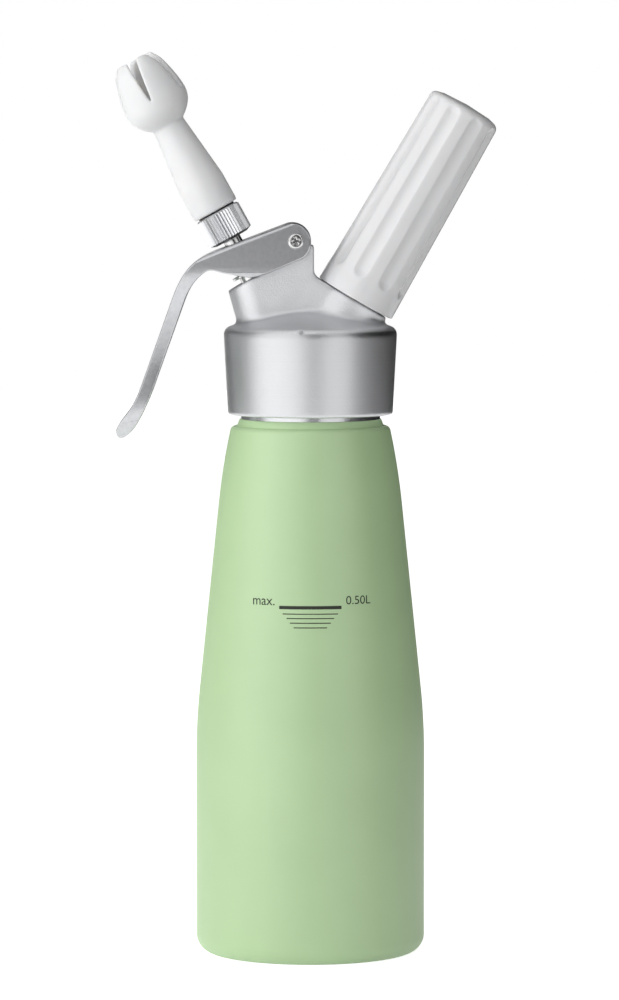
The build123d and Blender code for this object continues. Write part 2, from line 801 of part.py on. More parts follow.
# ------------------------------------------------------------------ charger port
spigot_low = -port_face_gap - port_bore_depth
gasket_foot = charger_mouth_h - charger_gasket_t
with BuildPart() as charger_port:
    with BuildSketch(profile_plane(port_axis)):
        ring_outline(0, port_spigot_r, spigot_low + inlet_t, 0)
        ring_outline(0, port_stud_r, -port_face_gap, port_stud_len)
        thread_outline(port_stud_r, port_crest_r, 0.8, port_stud_len, port_pitch)
    revolve(axis=turning_axis(port_axis))
    with BuildSketch(profile_plane(port_axis)):
        ring_outline(0, charger_neck_r + soft_gap, gasket_foot, port_stud_len + 1)
        ring_outline(0, pin_r + fit_gap, spigot_low, port_stud_len)
    revolve(axis=turning_axis(port_axis), mode=Mode.SUBTRACT)
charger_port.part.label = "charger_port"
export_step(charger_port.part, "parts/charger_port.step")

with BuildPart() as inlet_valve:
    with BuildSketch(profile_plane(port_axis)):
        ring_outline(inlet_hole_r, port_spigot_r - soft_gap, spigot_low, spigot_low + inlet_t)
        ring_outline(inlet_hole_r, gas_passage_r - soft_gap, spigot_low - inlet_plug_len, spigot_low)
    revolve(axis=turning_axis(port_axis))
inlet_valve.part.label = "inlet_valve"
export_step(inlet_valve.part, "parts/inlet_valve.step")

with BuildPart() as piercing_pin:
    with BuildSketch(profile_plane(port_axis)):
        with BuildLine():
            Polyline(
                (0, spigot_low + inlet_t),
                (pin_r, spigot_low + inlet_t),
                (pin_r, pin_tip_h - pin_point_len),
                (pin_point_r, pin_tip_h),
                (0, pin_tip_h),
                close=True,
            )
        make_face()
    revolve(axis=turning_axis(port_axis))
    with BuildSketch(port_axis.offset(spigot_low)):
        Circle(pin_bore_r)
    extrude(amount=port_bore_depth + port_stud_len, mode=Mode.SUBTRACT)
piercing_pin.part.label = "piercing_pin"
export_step(piercing_pin.part, "parts/piercing_pin.step")

with BuildPart() as charger_gasket:
    with BuildSketch(profile_plane(port_axis)):
        ring_outline(pin_r + run_gap, charger_neck_r, gasket_foot, charger_mouth_h)
    revolve(axis=turning_axis(port_axis))
charger_gasket.part.label = "charger_gasket"
export_step(charger_gasket.part, "parts/charger_gasket.step")

# ------------------------------------------------------------------ gas charger
charger_axis = port_axis.offset(charger_mouth_h + run_gap)
body_low = charger_neck_len + charger_shoulder
dome_low = charger_len - charger_r


def charger_outline(inset, neck_low):
    """Half outline of the steel cartridge, moved in by inset."""
    with BuildLine() as side:
        Polyline(
            (0, neck_low),
            (charger_neck_r - inset, neck_low),
            (charger_neck_r - inset, charger_neck_len + inset / 2),
            (charger_r - inset, body_low + inset / 2),
            (charger_r - inset, dome_low),
        )
        RadiusArc((charger_r - inset, dome_low), (0, charger_len - inset), -(charger_r - inset))
        Line((0, charger_len - inset), (0, neck_low))
    return side.line


with BuildPart() as gas_charger:
    with BuildSketch(profile_plane(charger_axis)):
        with BuildLine():
            add(charger_outline(0, 0))
        make_face()
    revolve(axis=turning_axis(charger_axis))
    with BuildSketch(profile_plane(charger_axis)):
        with BuildLine():
            add(charger_outline(charger_wall, cap_t))
        make_face()
        ring_outline(0, cap_hole_r, -1, cap_t + 1)
    revolve(axis=turning_axis(charger_axis), mode=Mode.SUBTRACT)
gas_charger.part.label = "gas_charger"
export_step(gas_charger.part, "parts/gas_charger.step")

# ------------------------------------------------------------------ charger holder
insert_r = port_crest_r + thread_gap + insert_wall
with BuildPart() as holder_insert:
    with BuildSketch(profile_plane(port_axis)):
        ring_outline(port_crest_r + thread_gap, insert_r, run_gap, insert_len)
    revolve(axis=turning_axis(port_axis))
holder_insert.part.label = "holder_insert"
export_step(holder_insert.part, "parts/holder_insert.step")

dome_r = (holder_top_r**2 + holder_dome**2) / (2 * holder_dome)
pocket_end = charger_mouth_h + charger_len + 2 * soft_gap
flute_lean = (holder_foot_r - holder_top_r) / holder_len
with BuildPart() as charger_holder:
    with BuildSketch(profile_plane(port_axis)):
        with BuildLine():
            Polyline(
                (0, holder_len),
                (0, 0),
                (holder_foot_r, 0),
                (holder_top_r, holder_len - holder_dome),
            )
            RadiusArc((holder_top_r, holder_len - holder_dome), (0, holder_len), -dome_r)
        make_face()
    revolve(axis=turning_axis(port_axis))
    top_rim = charger_holder.edges().filter_by(GeomType.CIRCLE).filter_by(
        lambda e: abs(e.radius - holder_top_r) < 0.01
    )
    fillet(top_rim, holder_round)
    for flute in range(flute_count):
        side = turned_about(port_axis, -90 - flute_turn_deg + 360 / flute_count * flute)
        low_r = holder_foot_r - flute_start * flute_lean + flute_r - flute_depth
        high = holder_len - holder_dome - flute_stop
        high_r = low_r - (high - flute_start) * flute_lean
        low_point = side.from_local_coords((low_r, 0, flute_start + flute_r / 2))
        high_point = side.from_local_coords((high_r, 0, high - flute_r / 2))
        flute_plane = Plane(origin=low_point, z_dir=high_point - low_point)
        with BuildSketch(flute_plane):
            Circle(flute_r)
        extrude(amount=(high_point - low_point).length, mode=Mode.SUBTRACT)
        with Locations(low_point, high_point):
            Sphere(flute_r, mode=Mode.SUBTRACT)
    with BuildSketch(profile_plane(port_axis)):
        ring_outline(0, insert_r + fit_gap, -1, insert_len + fit_gap)
        with BuildLine():
            Polyline(
                (0, 0),
                (charger_r + soft_gap, 0),
                (charger_r + soft_gap, pocket_end - charger_r - soft_gap),
            )
            RadiusArc(
                (charger_r + soft_gap, pocket_end - charger_r - soft_gap),
                (0, pocket_end),
                -(charger_r + soft_gap),
            )
            Line((0, pocket_end), (0, 0))
        make_face()
    revolve(axis=turning_axis(port_axis), mode=Mode.SUBTRACT)
charger_holder.part.label = "charger_holder"
export_step(charger_holder.part, "parts/charger_holder.step")
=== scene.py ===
# %% [markdown]
# # A whipped cream dispenser
# The dispenser is an aluminium bottle with a screw-on head. A lever on the head pushes a valve open, cream
# leaves through the white nozzle, and a white holder keeps the small gas cartridge. The engineering model
# of it is a fixed frame here. Each visible part is modelled again, finer, at the frame's own place, and
# rides on the body that it belongs to, so that it moves when the real part would.

import math

import bmesh
import bpy
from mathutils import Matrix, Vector


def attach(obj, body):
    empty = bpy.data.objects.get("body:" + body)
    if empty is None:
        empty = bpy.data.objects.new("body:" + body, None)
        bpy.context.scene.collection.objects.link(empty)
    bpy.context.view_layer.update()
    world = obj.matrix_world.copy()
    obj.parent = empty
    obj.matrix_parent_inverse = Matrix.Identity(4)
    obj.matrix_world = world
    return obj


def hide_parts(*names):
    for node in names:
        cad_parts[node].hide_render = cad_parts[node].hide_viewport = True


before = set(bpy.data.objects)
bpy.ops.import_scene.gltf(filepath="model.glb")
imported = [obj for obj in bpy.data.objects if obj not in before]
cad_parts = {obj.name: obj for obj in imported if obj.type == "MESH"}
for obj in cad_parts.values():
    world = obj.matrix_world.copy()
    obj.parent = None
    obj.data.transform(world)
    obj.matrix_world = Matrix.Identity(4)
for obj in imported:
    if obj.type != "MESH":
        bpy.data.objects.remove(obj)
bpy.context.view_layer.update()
bpy.ops.object.select_all(action="DESELECT")
print("frame nodes:", len(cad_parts))

# %% [markdown]
# ## Camera
# The bottle is looked at from slightly above with a long lens, the way product pictures are taken, so that
# its sides stay almost parallel. A long lens needs a far camera: two metres for an object a third of a
# metre tall. The camera could be levelled and its picture shifted down, which keeps verticals parallel, but
# a shift also moves every other view. So it is tilted by four degrees, which draws the foot only about one
# per cent smaller than the top.

# %% Camera
camera_place = Vector((-0.0003, -2.0, 0.296))
camera_aim = Vector((-0.0003, 0.0, 0.1590))
picture_height = 0.3503

camera_data = bpy.data.cameras.new("camera")
camera_data.sensor_width = 36.0
camera_data.lens = 36.0 * (camera_aim - camera_place).length / picture_height
camera = bpy.data.objects.new("camera", camera_data)
bpy.context.scene.collection.objects.link(camera)
camera.location = camera_place
camera.rotation_euler = (camera_aim - camera_place).to_track_quat("-Z", "Y").to_euler()
bpy.context.scene.camera = camera
bpy.context.scene.view_settings.view_transform = "Standard"
print("lens in mm:", round(camera_data.lens, 1))

# %% [markdown]
# ## Small helpers for modelling
# Pieces are modelled in millimetres, because an operator such as bevel or merge works best on sizes near
# one. The last step on each piece shrinks it to metres and applies its place, so that its object ends at
# the origin. A turned piece starts as one vertex that is pulled along half of its section, and is then spun
# round Z, as on a lathe. A cut-out piece starts the same way, is filled as a flat face and is pulled to its
# thickness.

# %% Helpers: select, modify, join, place
MM = 0.001


def only(piece):
    """Select this piece alone and make it active."""
    bpy.ops.object.select_all(action="DESELECT")
    piece.select_set(True)
    bpy.context.view_layer.objects.active = piece


def modify(piece, kind, **settings):
    """Add one modifier and apply it."""
    only(piece)
    modifier = piece.modifiers.new(kind.title(), kind)
    for setting, value in settings.items():
        setattr(modifier, setting, value)
    bpy.ops.object.modifier_apply(modifier=modifier.name)


def carve(piece, tool, operation="DIFFERENCE"):
    """Cut a tool out of a piece, or add it, and remove the tool."""
    modify(piece, "BOOLEAN", operation=operation, object=tool, solver="EXACT")
    bpy.data.objects.remove(tool)


def place(piece, at=(0, 0, 0), lean=0.0, turn=0.0, tip=0.0):
    """Turn a piece about Z, lean it towards +X and tip its top towards -Y, in degrees, and move it there."""
    only(piece)
    for angles in ((0, 0, turn), (0, lean, 0), (tip, 0, 0)):
        piece.rotation_euler = [math.radians(angle) for angle in angles]
        bpy.ops.object.transform_apply(location=False, rotation=True, scale=False)
    piece.location = at
    bpy.ops.object.transform_apply(location=True, rotation=False, scale=False)


def smooth_shade(piece, degrees):
    """Shade a piece smooth, apart from the edges that are sharper than this."""
    only(piece)
    bpy.ops.object.shade_smooth_by_angle(angle=math.radians(degrees))


def tidy_mesh(angle=30):
    """In edit mode: merge doubles, point the faces outwards, and leave edit mode with smooth shading."""
    bpy.ops.mesh.select_all(action="SELECT")
    bpy.ops.mesh.remove_doubles(threshold=0.001)
    bpy.ops.mesh.normals_make_consistent(inside=False)
    bpy.ops.object.mode_set(mode="OBJECT")
    bpy.ops.object.shade_smooth_by_angle(angle=math.radians(angle))


def draw(name, points):
    """Start a piece as one vertex and pull it from point to point; it stays in edit mode."""
    bpy.ops.mesh.primitive_plane_add(size=1)
    piece = bpy.context.object
    piece.name = name
    bpy.ops.object.mode_set(mode="EDIT")
    bpy.ops.mesh.select_all(action="SELECT")
    bpy.ops.mesh.merge(type="CENTER")
    bpy.ops.transform.translate(value=points[0])
    for start, end in zip(points, points[1:]):
        step = Vector(end) - Vector(start)
        bpy.ops.mesh.extrude_vertices_move(TRANSFORM_OT_translate={"value": step})
    return piece


def turned(name, section, steps=128):
    """Spin a half section of (radius, height) points round Z."""
    piece = draw(name, [(radius, 0, height) for radius, height in section])
    bpy.ops.mesh.select_all(action="SELECT")
    bpy.ops.mesh.spin(steps=steps, angle=2 * math.pi, center=(0, 0, 0), axis=(0, 0, 1))
    tidy_mesh()
    return piece


def filled(name, points, pull):
    """Fill a closed outline and pull the face along a vector."""
    piece = draw(name, points + points[:1])
    bpy.ops.mesh.select_all(action="SELECT")
    bpy.ops.mesh.remove_doubles(threshold=0.001)
    bpy.ops.mesh.edge_face_add()
    bpy.ops.mesh.extrude_region_move(TRANSFORM_OT_translate={"value": pull})
    tidy_mesh()
    return piece


def cut_out(name, outline, near, far):
    """Fill an outline of (x, z) points at Y near and pull it to Y far."""
    return filled(name, [(x, near, z) for x, z in outline], (0, far - near, 0))


# %% Helpers: outlines
def arc(middle, radius, degrees):
    """Points of an arc round a flat point, at these angles."""
    angles = [math.radians(degree) for degree in degrees]
    return [(middle[0] + radius * math.cos(a), middle[1] + radius * math.sin(a)) for a in angles]


def swung(middle, arm, angle):
    """The end of an arm, as a flat point, after the arm has turned about its middle."""
    turn_x = arm.x * math.cos(angle) - arm.y * math.sin(angle)
    turn_y = arm.x * math.sin(angle) + arm.y * math.cos(angle)
    return (middle.x + turn_x, middle.y + turn_y)


def rounded(corners, fineness=6):
    """Points of a section whose corners (a, b, radius) are rounded; a corner without a radius stays sharp."""
    points = []
    for index, corner in enumerate(corners):
        here = Vector(corner[:2])
        if len(corner) < 3:
            points.append(tuple(here))
            continue
        back = (Vector(corners[index - 1][:2]) - here).normalized()
        ahead = (Vector(corners[(index + 1) % len(corners)][:2]) - here).normalized()
        half = back.angle(ahead) / 2
        reach = corner[2] / math.tan(half)
        middle = here + (back + ahead).normalized() * corner[2] / math.sin(half)
        first = here + back * reach - middle
        last = here + ahead * reach - middle
        sweep = first.angle_signed(last)
        for step in range(fineness + 1):
            points.append(swung(middle, first, -sweep * step / fineness))
    return points


def flow(points, way_in, way_out, fineness=8):
    """A smooth line through the points that sets off along way_in and arrives along way_out."""
    spots = [Vector(point) for point in points]
    ways = [Vector(way_in).normalized()]
    ways += [(after - before).normalized() for before, after in zip(spots, spots[2:])]
    ways += [Vector(way_out).normalized()]
    line = []
    for start, end, leave, arrive in zip(spots, spots[1:], ways, ways[1:]):
        span = (end - start).length
        for step in range(fineness):
            t = step / fineness
            spot = start * (2 * t**3 - 3 * t**2 + 1) + end * (3 * t**2 - 2 * t**3)
            spot += span * (leave * (t**3 - 2 * t**2 + t) + arrive * (t**3 - t**2))
            line.append(tuple(spot))
    line.append(tuple(spots[-1]))
    return line


# %% Helpers: fine meshes
def soften(piece, repeats, near=None):
    """Relax a fine mesh; near(place) says how much, from 0 to 1."""
    group = piece.vertex_groups.new(name="soft")
    for vertex in piece.data.vertices:
        weight = near(vertex.co) if near else 1.0
        if weight > 0:
            group.add([vertex.index], weight, "REPLACE")
    modify(piece, "SMOOTH", iterations=repeats, factor=0.5, vertex_group="soft")
    piece.vertex_groups.remove(piece.vertex_groups["soft"])


def remesh(piece, size):
    """Give a solid an even mesh of this fineness, so that it can be softened."""
    modify(piece, "REMESH", mode="VOXEL", voxel_size=size, use_smooth_shade=True)


# %% [markdown]
# ## Small helpers for finishes
# Every finish is a node tree on a Principled shader. Colours are written as the hex value a paint chart
# would give and turned to linear light by one function. One function adds a node, sets it and links it.

# %% Helpers: colours and nodes
def paint(code):
    """Linear colour of an sRGB hex value."""
    channels = []
    for start in (0, 2, 4):
        value = int(code[start : start + 2], 16) / 255
        channels.append(value / 12.92 if value <= 0.04045 else ((value + 0.055) / 1.055) ** 2.4)
    return (*channels, 1.0)


def finish_of(name, **sockets):
    """A new material; the sockets named are set on its Principled shader."""
    material = bpy.data.materials.new(name)
    material.use_nodes = True
    shader = material.node_tree.nodes["Principled BSDF"]
    for socket, value in sockets.items():
        shader.inputs[socket.replace("_", " ")].default_value = value
    return material


def add(material, kind, links=(), **settings):
    """Add a node. Settings are its properties or its sockets; links are (from node, output, socket)."""
    node = material.node_tree.nodes.new(kind)
    for setting, value in settings.items():
        socket = setting.replace("_", " ")
        if socket in node.inputs:
            node.inputs[socket].default_value = value
        else:
            setattr(node, setting, value)
    for source, output, socket in links:
        material.node_tree.links.new(source.outputs[output], node.inputs[socket])
    return node


def shader_of(material):
    """The material's Principled shader."""
    return material.node_tree.nodes["Principled BSDF"]


def link(material, source, output, socket):
    """Link a node's output to a socket of the material's shader."""
    material.node_tree.links.new(source.outputs[output], shader_of(material).inputs[socket])


# %% [markdown]
# ## Finish: mint powder coat
# The bottle is sprayed with a mint-green powder and baked. The powder melts to a matt skin with a very
# fine, flat orange peel, about a third of a millimetre from bump to bump. The colour is even; only the
# thickness of the skin makes it drift a little, some thirty times in a metre. A glossy paint would show the
# lamps as shapes, and this shows them as haze, so the roughness stays near one half.

# %% Mint powder coat
mint_coat = finish_of("mint_powder_coat", Roughness=0.5, IOR=1.7, Specular_IOR_Level=0.8)
place_on = add(mint_coat, "ShaderNodeTexCoord")
drifts_per_m = 30.0
drift = add(mint_coat, "ShaderNodeTexNoise", [(place_on, "Object", "Vector")], Scale=drifts_per_m, Detail=2.0)
tint = add(mint_coat, "ShaderNodeValToRGB", [(drift, "Fac", "Fac")])
tint.color_ramp.elements[0].position = 0.35
tint.color_ramp.elements[0].color = paint("AECC9A")
tint.color_ramp.elements[1].position = 0.65
tint.color_ramp.elements[1].color = paint("B2D09E")
link(mint_coat, tint, "Color", "Base Color")
peel_mm = 0.35
peel = add(mint_coat, "ShaderNodeTexNoise", [(place_on, "Object", "Vector")],
           Scale=1 / (peel_mm * MM), Detail=1.0)
peel_bump = add(mint_coat, "ShaderNodeBump", [(peel, "Fac", "Height")], Strength=0.12, Distance=0.02 * MM)
link(mint_coat, peel_bump, "Normal", "Normal")
haze = add(mint_coat, "ShaderNodeMapRange", [(drift, "Fac", "Value")])
haze.inputs["To Min"].default_value = 0.47
haze.inputs["To Max"].default_value = 0.53
link(mint_coat, haze, "Result", "Roughness")

# %% [markdown]
# ## Finish: bead-blasted aluminium
# The head is cast aluminium that is blasted with glass beads, which leaves dents of a quarter to half of a
# millimetre and a soft, silky grey. A bump of that grain on a fairly rough metal gives it. The grain is
# drawn at the coarse end of that range, because a finer one doesn't show at this picture's size.

# %% Bead-blasted aluminium
blasted_metal = finish_of("bead_blasted_aluminium", Metallic=1.0, Roughness=0.5)
place_on = add(blasted_metal, "ShaderNodeTexCoord")
bead_mm = 0.5
beads = add(blasted_metal, "ShaderNodeTexNoise", [(place_on, "Object", "Vector")],
            Scale=1 / (bead_mm * MM), Detail=2.0)
clouds_per_m = 90.0
clouds = add(blasted_metal, "ShaderNodeTexNoise", [(place_on, "Object", "Vector")],
             Scale=clouds_per_m, Detail=3.0)
grey = add(blasted_metal, "ShaderNodeValToRGB", [(clouds, "Fac", "Fac")])
grey.color_ramp.elements[0].position = 0.3
grey.color_ramp.elements[0].color = paint("CFD0D2")
grey.color_ramp.elements[1].position = 0.7
grey.color_ramp.elements[1].color = paint("D7D8DA")
link(blasted_metal, grey, "Color", "Base Color")
bead_bump = add(blasted_metal, "ShaderNodeBump", [(beads, "Fac", "Height")], Strength=1.0, Distance=0.09 * MM)
link(blasted_metal, bead_bump, "Normal", "Normal")

# %% [markdown]
# ## Finish: turned aluminium
# The skirt is turned and then blasted more lightly than the head. Its turning marks are one long noise,
# squeezed to about a tenth of a millimetre along Z and stretched round the axis. The blasting leaves only a
# trace of them under its grain, so their bump is faint and the grain's bump lies on top.

# %% Turned aluminium
turned_metal = finish_of("turned_aluminium", Metallic=1.0, Roughness=0.36)
place_on = add(turned_metal, "ShaderNodeTexCoord")
mark_mm, mark_length_mm = 0.12, 50.0
marks_round, marks_up = 1 / (mark_length_mm * MM), 1 / (mark_mm * MM)
squeeze = add(turned_metal, "ShaderNodeMapping", [(place_on, "Object", "Vector")],
              Scale=(marks_round, marks_round, marks_up))
marks = add(turned_metal, "ShaderNodeTexNoise", [(squeeze, "Vector", "Vector")], Scale=1.0, Detail=2.0)
shade = add(turned_metal, "ShaderNodeValToRGB", [(marks, "Fac", "Fac")])
shade.color_ramp.elements[0].position = 0.25
shade.color_ramp.elements[0].color = paint("C1C2C4")
shade.color_ramp.elements[1].position = 0.75
shade.color_ramp.elements[1].color = paint("C5C6C8")
link(turned_metal, shade, "Color", "Base Color")
mark_bump = add(turned_metal, "ShaderNodeBump", [(marks, "Fac", "Height")], Strength=0.04, Distance=0.01 * MM)
grit = add(turned_metal, "ShaderNodeTexNoise", [(place_on, "Object", "Vector")],
           Scale=1 / (bead_mm * MM), Detail=2.0)
grit_bump = add(turned_metal, "ShaderNodeBump", [(grit, "Fac", "Height"), (mark_bump, "Normal", "Normal")],
                Strength=0.9, Distance=0.06 * MM)
link(turned_metal, grit_bump, "Normal", "Normal")

# %% [markdown]
# ## Finish: tumbled aluminium
# The lever is die-cast aluminium that is tumbled in a drum, so it is smoother than the head and its edges
# are worn round. It needs a lower roughness, a faint drift of its grey and only a trace of grain.

# %% Tumbled aluminium
tumbled_metal = finish_of("tumbled_aluminium", Metallic=1.0, Roughness=0.3)
place_on = add(tumbled_metal, "ShaderNodeTexCoord")
scuffs_per_m = 700.0
scuffs = add(tumbled_metal, "ShaderNodeTexNoise", [(place_on, "Object", "Vector")],
             Scale=scuffs_per_m, Detail=3.0)
worn = add(tumbled_metal, "ShaderNodeValToRGB", [(scuffs, "Fac", "Fac")])
worn.color_ramp.elements[0].position = 0.3
worn.color_ramp.elements[0].color = paint("B6B7BA")
worn.color_ramp.elements[1].position = 0.7
worn.color_ramp.elements[1].color = paint("BFC0C2")
link(tumbled_metal, worn, "Color", "Base Color")
scuff_bump = add(tumbled_metal, "ShaderNodeBump", [(scuffs, "Fac", "Height")],
                 Strength=0.08, Distance=0.02 * MM)
link(tumbled_metal, scuff_bump, "Normal", "Normal")

# %% [markdown]
# ## Finish: plated and bare small parts
# The knurled nut is plated with nickel, and the stem, the washer and the screw are bright stainless steel.
# Their shapes are tiny, so the finish only needs a little unevenness in its roughness to stop it looking
# like a mirror. The steel parts inside and the bottle's bare neck are made by the same function.

# %% Plated and bare metals
patches_per_m, unevenness = 900.0, 0.05


def small_metal(name, low, high, roughness):
    """A bright metal between two greys, with a little unevenness in its roughness."""
    metal = finish_of(name, Metallic=1.0)
    where = add(metal, "ShaderNodeTexCoord")
    patches = add(metal, "ShaderNodeTexNoise", [(where, "Object", "Vector")], Scale=patches_per_m, Detail=2.0)
    colour = add(metal, "ShaderNodeValToRGB", [(patches, "Fac", "Fac")])
    colour.color_ramp.elements[0].color = paint(low)
    colour.color_ramp.elements[1].color = paint(high)
    link(metal, colour, "Color", "Base Color")
    uneven = add(metal, "ShaderNodeMapRange", [(patches, "Fac", "Value")])
    uneven.inputs["To Min"].default_value = roughness - unevenness
    uneven.inputs["To Max"].default_value = roughness + unevenness
    link(metal, uneven, "Result", "Roughness")
    return metal


nickel_plate = small_metal("nickel_plate", "D0D1D3", "DBDCDE", 0.34)
stainless_steel = small_metal("stainless_steel", "BEBEBE", "CFCFCF", 0.2)
drawn_steel = small_metal("drawn_steel", "B0B0B2", "BFBFC1", 0.3)
bare_aluminium = small_metal("bare_aluminium", "C6C7C9", "D0D1D3", 0.25)

# %% [markdown]
# ## Finish: white plastics
# The nozzle is moulded from polypropylene, which is a little waxy: light goes in and comes out again
# nearby. The holder is a harder, glossier plastic from a polished mould. Both are off-white, never pure
# white.

# %% Waxy plastic
red_goes_furthest = (1.0, 0.9, 0.8)
waxy_white = finish_of("white_polypropylene", Roughness=0.38, IOR=1.49,
                       Subsurface_Weight=0.6, Subsurface_Scale=0.006)
shader_of(waxy_white).inputs["Subsurface Radius"].default_value = red_goes_furthest
place_on = add(waxy_white, "ShaderNodeTexCoord")
flow_marks_per_m, skin_per_m = 60.0, 2500.0
flow_marks = add(waxy_white, "ShaderNodeTexNoise", [(place_on, "Object", "Vector")],
                 Scale=flow_marks_per_m, Detail=2.0)
milk = add(waxy_white, "ShaderNodeValToRGB", [(flow_marks, "Fac", "Fac")])
milk.color_ramp.elements[0].color = paint("E6E6E6")
milk.color_ramp.elements[1].color = paint("EBEBEB")
link(waxy_white, milk, "Color", "Base Color")
skin = add(waxy_white, "ShaderNodeTexNoise", [(place_on, "Object", "Vector")], Scale=skin_per_m, Detail=1.0)
skin_bump = add(waxy_white, "ShaderNodeBump", [(skin, "Fac", "Height")], Strength=0.05, Distance=0.02 * MM)
link(waxy_white, skin_bump, "Normal", "Normal")

# %% Glossy plastic
gloss_white = finish_of("white_abs_gloss", Roughness=0.2, IOR=1.5,
                        Subsurface_Weight=0.4, Subsurface_Scale=0.004)
shader_of(gloss_white).inputs["Subsurface Radius"].default_value = red_goes_furthest
place_on = add(gloss_white, "ShaderNodeTexCoord")
flow_marks_per_m = 40.0
flow_marks = add(gloss_white, "ShaderNodeTexNoise", [(place_on, "Object", "Vector")],
                 Scale=flow_marks_per_m, Detail=2.0)
milk = add(gloss_white, "ShaderNodeValToRGB", [(flow_marks, "Fac", "Fac")])
milk.color_ramp.elements[0].color = paint("E4E4E5")
milk.color_ramp.elements[1].color = paint("E9E9EA")
link(gloss_white, milk, "Color", "Base Color")
polish = add(gloss_white, "ShaderNodeMapRange", [(flow_marks, "Fac", "Value")])
polish.inputs["To Min"].default_value = 0.17
polish.inputs["To Max"].default_value = 0.24
link(gloss_white, polish, "Result", "Roughness")

# %% [markdown]
# ## Finish: dark ring, seals and ink
# The thin ring under the nozzle is black plastic, the seals are silicone rubber, the valve's guide is a
# pale, slippery plastic, and the level mark is printed with a matt ink. Each gets a fine noise so that it
# isn't one flat colour.

# %% Dark plastic, rubber and ink
def soft_finish(name, low, high, roughness, grain_mm):
    """A matt finish between two colours, with a fine grain."""
    soft = finish_of(name, Roughness=roughness, IOR=1.45)
    where = add(soft, "ShaderNodeTexCoord")
    grain = add(soft, "ShaderNodeTexNoise", [(where, "Object", "Vector")],
                Scale=1 / (grain_mm * MM), Detail=2.0)
    colour = add(soft, "ShaderNodeValToRGB", [(grain, "Fac", "Fac")])
    colour.color_ramp.elements[0].color = paint(low)
    colour.color_ramp.elements[1].color = paint(high)
    link(soft, colour, "Color", "Base Color")
    rise = add(soft, "ShaderNodeBump", [(grain, "Fac", "Height")], Strength=0.1, Distance=0.02 * MM)
    link(soft, rise, "Normal", "Normal")
    return soft


black_plastic = soft_finish("black_nylon", "1E1E20", "2A2A2C", 0.5, 0.3)
dark_rubber = soft_finish("dark_silicone_rubber", "202021", "2B2B2B", 0.75, 0.2)
pale_rubber = soft_finish("pale_silicone_rubber", "CFCFCB", "DADAD6", 0.65, 0.2)
guide_plastic = soft_finish("natural_acetal", "DADAD4", "E2E2DC", 0.5, 0.3)
printing_ink = soft_finish("printing_ink", "20241D", "2B3027", 0.6, 0.25)

# %% [markdown]
# ## Putting a piece in its place
# The last step for each piece: shrink it to metres, give it its finish, let it ride on its body, and say
# which node of the frame it stands for. A boolean that fails often leaves only scraps of a piece and no
# error, so a piece that stands for a node is first held against it, and the script stops if it is over 1.5
# mm off in size.

# %% Settle a piece
def check_size(piece, node, slack=1.5 * MM):
    """Stop where a piece isn't as large as its node."""
    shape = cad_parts[node]
    corners = [shape.matrix_world @ Vector(corner) for corner in shape.bound_box]
    for axis in range(3):
        places = [vertex.co[axis] for vertex in piece.data.vertices]
        node_places = [corner[axis] for corner in corners]
        off = max(abs(min(places) - min(node_places)), abs(max(places) - max(node_places)))
        if off > slack:
            raise ValueError(f"{piece.name} is {off / MM:.2f} mm off the size of {node} along axis {axis}")


def settle(piece, body, slot, *finishes, nodes=()):
    """Shrink a piece to metres, give it its finishes, and tell the frame what it rides on and replaces."""
    only(piece)
    piece.scale = (MM, MM, MM)
    bpy.ops.object.transform_apply(location=True, rotation=True, scale=True)
    for index, finish in enumerate(finishes):
        if index < len(piece.data.materials):
            piece.data.materials[index] = finish
        else:
            piece.data.materials.append(finish)
    for node in nodes:
        check_size(piece, node)
    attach(piece, body)
    if nodes:
        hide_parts(*nodes)
    print(piece.name, "faces:", len(piece.data.polygons))


def give_slot(piece, test, index):
    """Give the faces that pass a test, by centre and normal, another of the piece's finishes."""
    while len(piece.data.materials) <= index:
        piece.data.materials.append(None)
    for face in piece.data.polygons:
        if test(face.center, face.normal):
            face.material_index = index


# %% [markdown]
# ## Bottle
# The bottle is drawn from one disc of aluminium: a straight side, a slight bend, a long taper and a rounded
# shoulder. It is turned here as one closed section, outside and inside, so that it has a real wall. The
# bend and the crown are long arcs, worked out from where they start and where they must end.

# %% Bottle
bottle_r, straight_h, hip_h, taper_deg, taper_h = 40.0, 70.0, 23.0, 5.9, 65.0
shoulder_h, crown_r, rim_h = 185.2, 27.7, 206.0
floor_t, wall_t, inner_r = 3.0, 1.8, 38.2
ring_r, ring_low, ring_high = 24.4, 187.6, 189.9
painted_r, neck_r, mouth_r, rim_cut = 25.7, 23.6, 21.0, 0.5


def side_line(inset, top_r, top_h):
    """The bottle's side from the straight part to the crown's end, moved in by inset."""
    line = []
    bend_r = hip_h / math.sin(math.radians(taper_deg))
    for step in range(9):
        angle = math.radians(taper_deg) * step / 8
        radius = bottle_r - inset - bend_r * (1 - math.cos(angle))
        line.append((radius, straight_h + bend_r * math.sin(angle)))
    hip_r, hip_top = line[-1]
    slope = math.tan(math.radians(taper_deg))
    for step in range(1, 9):
        line.append((hip_r - slope * taper_h * step / 8, hip_top + taper_h * step / 8))
    start = Vector(line[-1])
    run = Vector((top_r, top_h)) - start
    way = Vector((-slope, 1)).normalized()
    square = Vector((-way.y, way.x))
    crown_bend = run.length_squared / (2 * run.dot(square))
    middle = start + square * crown_bend
    first = start - middle
    sweep = 2 * math.asin(run.length / (2 * crown_bend))
    for step in range(1, 15):
        line.append(swung(middle, first, sweep * step / 14))
    return line


